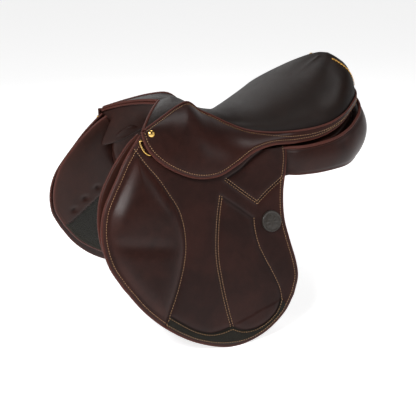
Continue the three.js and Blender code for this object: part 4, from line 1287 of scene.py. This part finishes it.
def build_gussets():
    """The full rear gusset on each side, with piping along its top and bottom and across the rear."""
    count = 140
    line = spline_at(GUSSET, np.linspace(0, 1, count))
    plan = line[:, :3] * [1, 1, 0]
    out = outward_of(plan)
    top, low, bulge = line[:, 2:].T
    v = np.linspace(0, 1, 30)[:, None]
    swell = bulge[None] * np.sin(np.pi * v) ** 0.8 - 0.8 * bell(v - 0.06, 0.03) - 0.8 * bell(v - 0.94, 0.03)
    face = plan[None] + out[None] * swell[..., None]
    face[..., 2] = top[None] * (1 - v) + low[None] * v
    edge = np.maximum(0.7 * bell(v, 0.06), 0.5 * bell(1 - v, 0.05)) * np.ones((1, count))
    # Shade is painted in a line just under the top piping.
    crease = 0.8 * bell(v - 0.07, 0.02) * np.ones((1, count))
    gussets = on_both_sides("rear_gusset_leather", body_between(face, face - out[None] * GUSSET_LEATHER),
                            finish("flap_leather"), fixed("flap_leather", "rear_gusset_{side}"),
                            face_marks(crease, edge))
    high_piping = face[0] + [0, 0, 2.6] - out * 0.6
    on_both_sides("panel_piping_roll", tube_body(high_piping, 2.7, 12), finish("piping_leather"),
                  fixed("piping_leather", "panel_piping_{side}"))
    rear_roll = make_object("rear_piping", *tube_body(spline(REAR_ROLL, 40), 2.5, 12),
                            finish("piping_leather"))
    fixed("piping_leather")(rear_roll)
    low_piping = face[-1] + [0, 0, -0.6] - out * 1.6
    on_both_sides("panel_low_piping", tube_body(low_piping, 1.7), finish("piping_leather"),
                  fixed("piping_leather"))


def joining_piece(name, grid, thickness, leather_name, node):
    """A sheet of leather on the middle line that stands for one CAD node."""
    piece = make_object(name, *body_between(grid, grid - thickness), finish(leather_name))
    fixed(leather_name, node)(piece)


def build_bridges():
    """Leather that joins the two panels: along the channel, in front and behind."""
    below = np.array([0, 0, LINING])
    y = np.linspace(-60, 236, 90)[:, None]
    x = np.linspace(-30, 30, 24)[None]
    top = np.stack(np.broadcast_arrays(x, y, through(CHANNEL_RISE)(y) + 1.5), -1)
    joining_piece("channel_lining", top, below, "panel_leather", "gullet_lining")

    turn = np.linspace(-1, 1, 40)[None]
    v = np.linspace(0, 1, 24)[:, None]
    front_y = -112 + 46 * v - 24 * turn**2 * (1 - v)
    front_z = 62 - 18 * v - 10 * turn**2
    front = np.stack(np.broadcast_arrays(26 * turn, front_y, front_z), -1)
    joining_piece("front_bridge", front, below, "panel_leather", "panel_front_bridge")

    half = 37
    turn = np.linspace(-1, 1, 48)[None]
    v = np.linspace(0, 1, 20)[:, None]
    back_y = 270 - 3 * turn**2 + 2.5 * np.sin(np.pi * v)
    arch = 44 - 26 * np.abs(turn) ** 2.2
    rear = np.stack(np.broadcast_arrays(half * turn, back_y, 75 + (arch - 75) * v), -1)
    joining_piece("rear_bridge", rear, np.array([0, GUSSET_LEATHER, 0]), "flap_leather", "panel_rear_bridge")


# ---- Fittings ----


def build_fittings():
    """Brass nails with low round heads, and dee rings."""
    y0, z0 = NAIL_PLACE
    out, along, up = flap_frame(y0, z0)
    skirt = skirt_point(np.array([0.035]), np.array([0.5]))[0]
    centre = np.array([max(skirt[0], flap_x(y0, z0) + 10), y0, z0])
    angle = np.linspace(0, 2 * np.pi, 32, endpoint=False)
    rings = [centre + out * height + round_section(reach, angle, along, up) for reach, height in NAIL_PROFILE]
    on_both_sides("nail_head", dome_body(rings[0][0], rings[1:]), finish("brass"),
                  fixed("brass", "saddle_nail_{side}"))

    y0, z0 = DEE_PLACE
    centre = np.array([flap_x(y0, z0) + DEE_STAND, y0, z0])
    down = np.array([FLAP_SPREAD / FLAP_DROP, 0, -1.0])
    down /= np.linalg.norm(down)
    across_dee = np.array([0, DEE_HALF_WIDTH, 0])
    bow = [centre + across_dee * np.cos(a) + down * DEE_DROP * np.sin(a) for a in np.linspace(0, np.pi, 40)]
    bar = [centre + across_dee * s for s in np.linspace(-0.9, 0.9, 12)]
    on_both_sides("dee_wire", ring_body(np.array(bow + bar), DEE_WIRE, 12), finish("brass"),
                  riding("dee_ring_{side}", "brass", "dee_ring_{side}"))


def finish_kept_nodes():
    """Gives each CAD node that keeps its shape its own finish."""
    for name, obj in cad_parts.items():
        plain = name.removesuffix("_near").removesuffix("_off")
        if plain not in KEPT_FINISHES:
            continue
        if not obj.material_slots:
            obj.data.materials.append(None)
        for slot in obj.material_slots:
            slot.material = finish(KEPT_FINISHES[plain])


# ---- Studio ----


def linked(name, data):
    """A new object in the scene."""
    obj = bpy.data.objects.new(name, data)
    bpy.context.scene.collection.objects.link(obj)
    return obj


def build_floor(settings):
    """A wide pale floor just under the flaps, evenly lit."""
    size = FLOOR_HALF_SIZE
    z = CAD_BOX[0][2] - settings.floor_drop
    mesh = bpy.data.meshes.new("floor")
    corners = [(-size, -size, z), (size, -size, z), (size, size, z), (-size, size, z)]
    mesh.from_pydata(corners, [], [(0, 1, 2, 3)])
    material, _, surface = shader("pale_floor", 0.9)
    surface.inputs["Base Color"].default_value = (0.82, 0.82, 0.82, 1)
    surface.inputs["Specular IOR Level"].default_value = 0.1
    surface.inputs["Emission Color"].default_value = (1, 1, 1, 1)
    surface.inputs["Emission Strength"].default_value = settings.floor_glow
    mesh.materials.append(material)
    linked("floor", mesh)


def build_world(settings):
    """A pale wall up to a little above the horizon, and a darker ceiling."""
    world = bpy.data.worlds.new("studio")
    world.use_nodes = True
    tree = world.node_tree
    split = tree.nodes.new("ShaderNodeSeparateXYZ")
    tree.links.new(tree.nodes.new("ShaderNodeTexCoord").outputs["Generated"], split.inputs[0])
    level = ramp(tree, split.outputs["Z"], 0.22, 0.42)
    shade = mixed(tree, level, (0.9, 0.9, 0.9), (0.1, 0.1, 0.1))
    tree.links.new(shade, tree.nodes["Background"].inputs["Color"])
    tree.nodes["Background"].inputs["Strength"].default_value = settings.world_glow
    bpy.context.scene.world = world
    bpy.context.scene.view_settings.view_transform = "Standard"


def build_lights(settings):
    """Four soft round lights, aimed at the middle of the saddle."""
    lights = [
        ("key", (0.75, -1.15, 1.15), 0.55, settings.key_power),
        ("fill", (1.3, 1.2, 0.9), 0.8, settings.fill_power),
        ("top", (-0.1, 0.5, 1.7), 0.8, settings.key_power * 0.3),
        ("back", (-1.4, 0.2, 0.8), 0.9, settings.fill_power),
    ]
    for name, place, width, power in lights:
        data = bpy.data.lights.new(name, "AREA")
        data.shape = "DISK"
        data.size = width
        data.energy = power
        lamp = linked(name, data)
        lamp.location = place
        lamp.rotation_euler = (Vector(LIGHTS_AIM) - Vector(place)).to_track_quat("-Z", "Y").to_euler()


def build_camera():
    """The camera, at a set angle and distance from the middle of the view."""
    azimuth, elevation = np.radians(VIEW_AZIMUTH), np.radians(VIEW_ELEVATION)
    level = np.cos(elevation)
    back = Vector((np.sin(azimuth) * level, -np.cos(azimuth) * level, np.sin(elevation)))
    data = bpy.data.cameras.new("camera")
    data.sensor_width = SENSOR
    data.lens = LENS
    camera = linked("camera", data)
    camera.location = (Vector(VIEW_TARGET) + back * VIEW_DISTANCE) * MM
    camera.rotation_euler = back.to_track_quat("Z", "Y").to_euler()
    bpy.context.scene.camera = camera


# ---- Operators and panel ----


class SADDLE_OT_stage(bpy.types.Operator):
    """Lay the floor and set the lights and the camera"""

    bl_idname = "saddle.stage"
    bl_label = "Studio"

    def execute(self, context):
        settings = context.scene.saddle_stage
        build_floor(settings)
        build_world(settings)
        build_lights(settings)
        build_camera()
        return {"FINISHED"}


class SADDLE_OT_finishes(bpy.types.Operator):
    """Make the materials and finish the pieces that keep their shape"""

    bl_idname = "saddle.finishes"
    bl_label = "Finishes"

    def execute(self, context):
        make_materials(context.scene.saddle_leather)
        finish_kept_nodes()
        return {"FINISHED"}


class SADDLE_OT_seat(bpy.types.Operator):
    """Build the seat leather, its foam and its welts"""

    bl_idname = "saddle.seat"
    bl_label = "Seat"

    def execute(self, context):
        build_seat(context.scene.saddle_shape)
        return {"FINISHED"}


class SADDLE_OT_skirts(bpy.types.Operator):
    """Build the skirts with their welts and stitching"""

    bl_idname = "saddle.skirts"
    bl_label = "Skirts"

    def execute(self, context):
        build_skirts(context.scene.saddle_shape)
        return {"FINISHED"}


class SADDLE_OT_flaps(bpy.types.Operator):
    """Build the flaps with knee pads, seams, grip bands and badges"""

    bl_idname = "saddle.flaps"
    bl_label = "Flaps"

    def execute(self, context):
        build_flaps(context.scene.saddle_shape)
        return {"FINISHED"}


class SADDLE_OT_sweat_flaps(bpy.types.Operator):
    """Build the sweat flaps and thigh rolls"""

    bl_idname = "saddle.sweat_flaps"
    bl_label = "Sweat Flaps"

    def execute(self, context):
        build_sweat_flaps(context.scene.saddle_shape)
        return {"FINISHED"}


class SADDLE_OT_panels(bpy.types.Operator):
    """Build the stuffed panels, rear gussets and bridges"""

    bl_idname = "saddle.panels"
    bl_label = "Panels"

    def execute(self, context):
        build_panels()
        return {"FINISHED"}


class SADDLE_OT_fittings(bpy.types.Operator):
    """Build the brass nails and dee rings"""

    bl_idname = "saddle.fittings"
    bl_label = "Fittings"

    def execute(self, context):
        build_fittings()
        return {"FINISHED"}


STEPS = (SADDLE_OT_stage, SADDLE_OT_finishes, SADDLE_OT_seat, SADDLE_OT_skirts, SADDLE_OT_flaps,
         SADDLE_OT_sweat_flaps, SADDLE_OT_panels, SADDLE_OT_fittings)


class SADDLE_PT_sidebar(bpy.types.Panel):
    """Lists the saddle's build steps and settings"""

    bl_label = "Jumping Saddle"
    bl_idname = "SADDLE_PT_sidebar"
    bl_space_type = "VIEW_3D"
    bl_region_type = "UI"
    bl_category = "Saddle"

    def draw(self, context):
        for step in STEPS:
            self.layout.operator(step.bl_idname)
        for settings in (getattr(context.scene, name) for name in GROUPS):
            box = self.layout.box()
            for key in settings.__annotations__:
                box.prop(settings, key)


GROUPS = {
    "saddle_leather": SADDLE_PG_leather,
    "saddle_shape": SADDLE_PG_shape,
    "saddle_stage": SADDLE_PG_stage,
}


def register():
    """Registers the classes and gives the scene its three groups of settings."""
    for cls in (*GROUPS.values(), *STEPS, SADDLE_PT_sidebar):
        bpy.utils.register_class(cls)
    for name, cls in GROUPS.items():
        setattr(bpy.types.Scene, name, bpy.props.PointerProperty(type=cls))


def unregister():
    """Takes back what register did."""
    for name in GROUPS:
        delattr(bpy.types.Scene, name)
    for cls in reversed((*GROUPS.values(), *STEPS, SADDLE_PT_sidebar)):
        bpy.utils.unregister_class(cls)


def main():
    """Registers the classes, then builds the stage and every piece in order."""
    register()
    for step in ("stage", "finishes", "seat", "skirts", "flaps", "sweat_flaps", "panels", "fittings"):
        getattr(bpy.ops.saddle, step)()


if __name__ == "__main__":
    main()
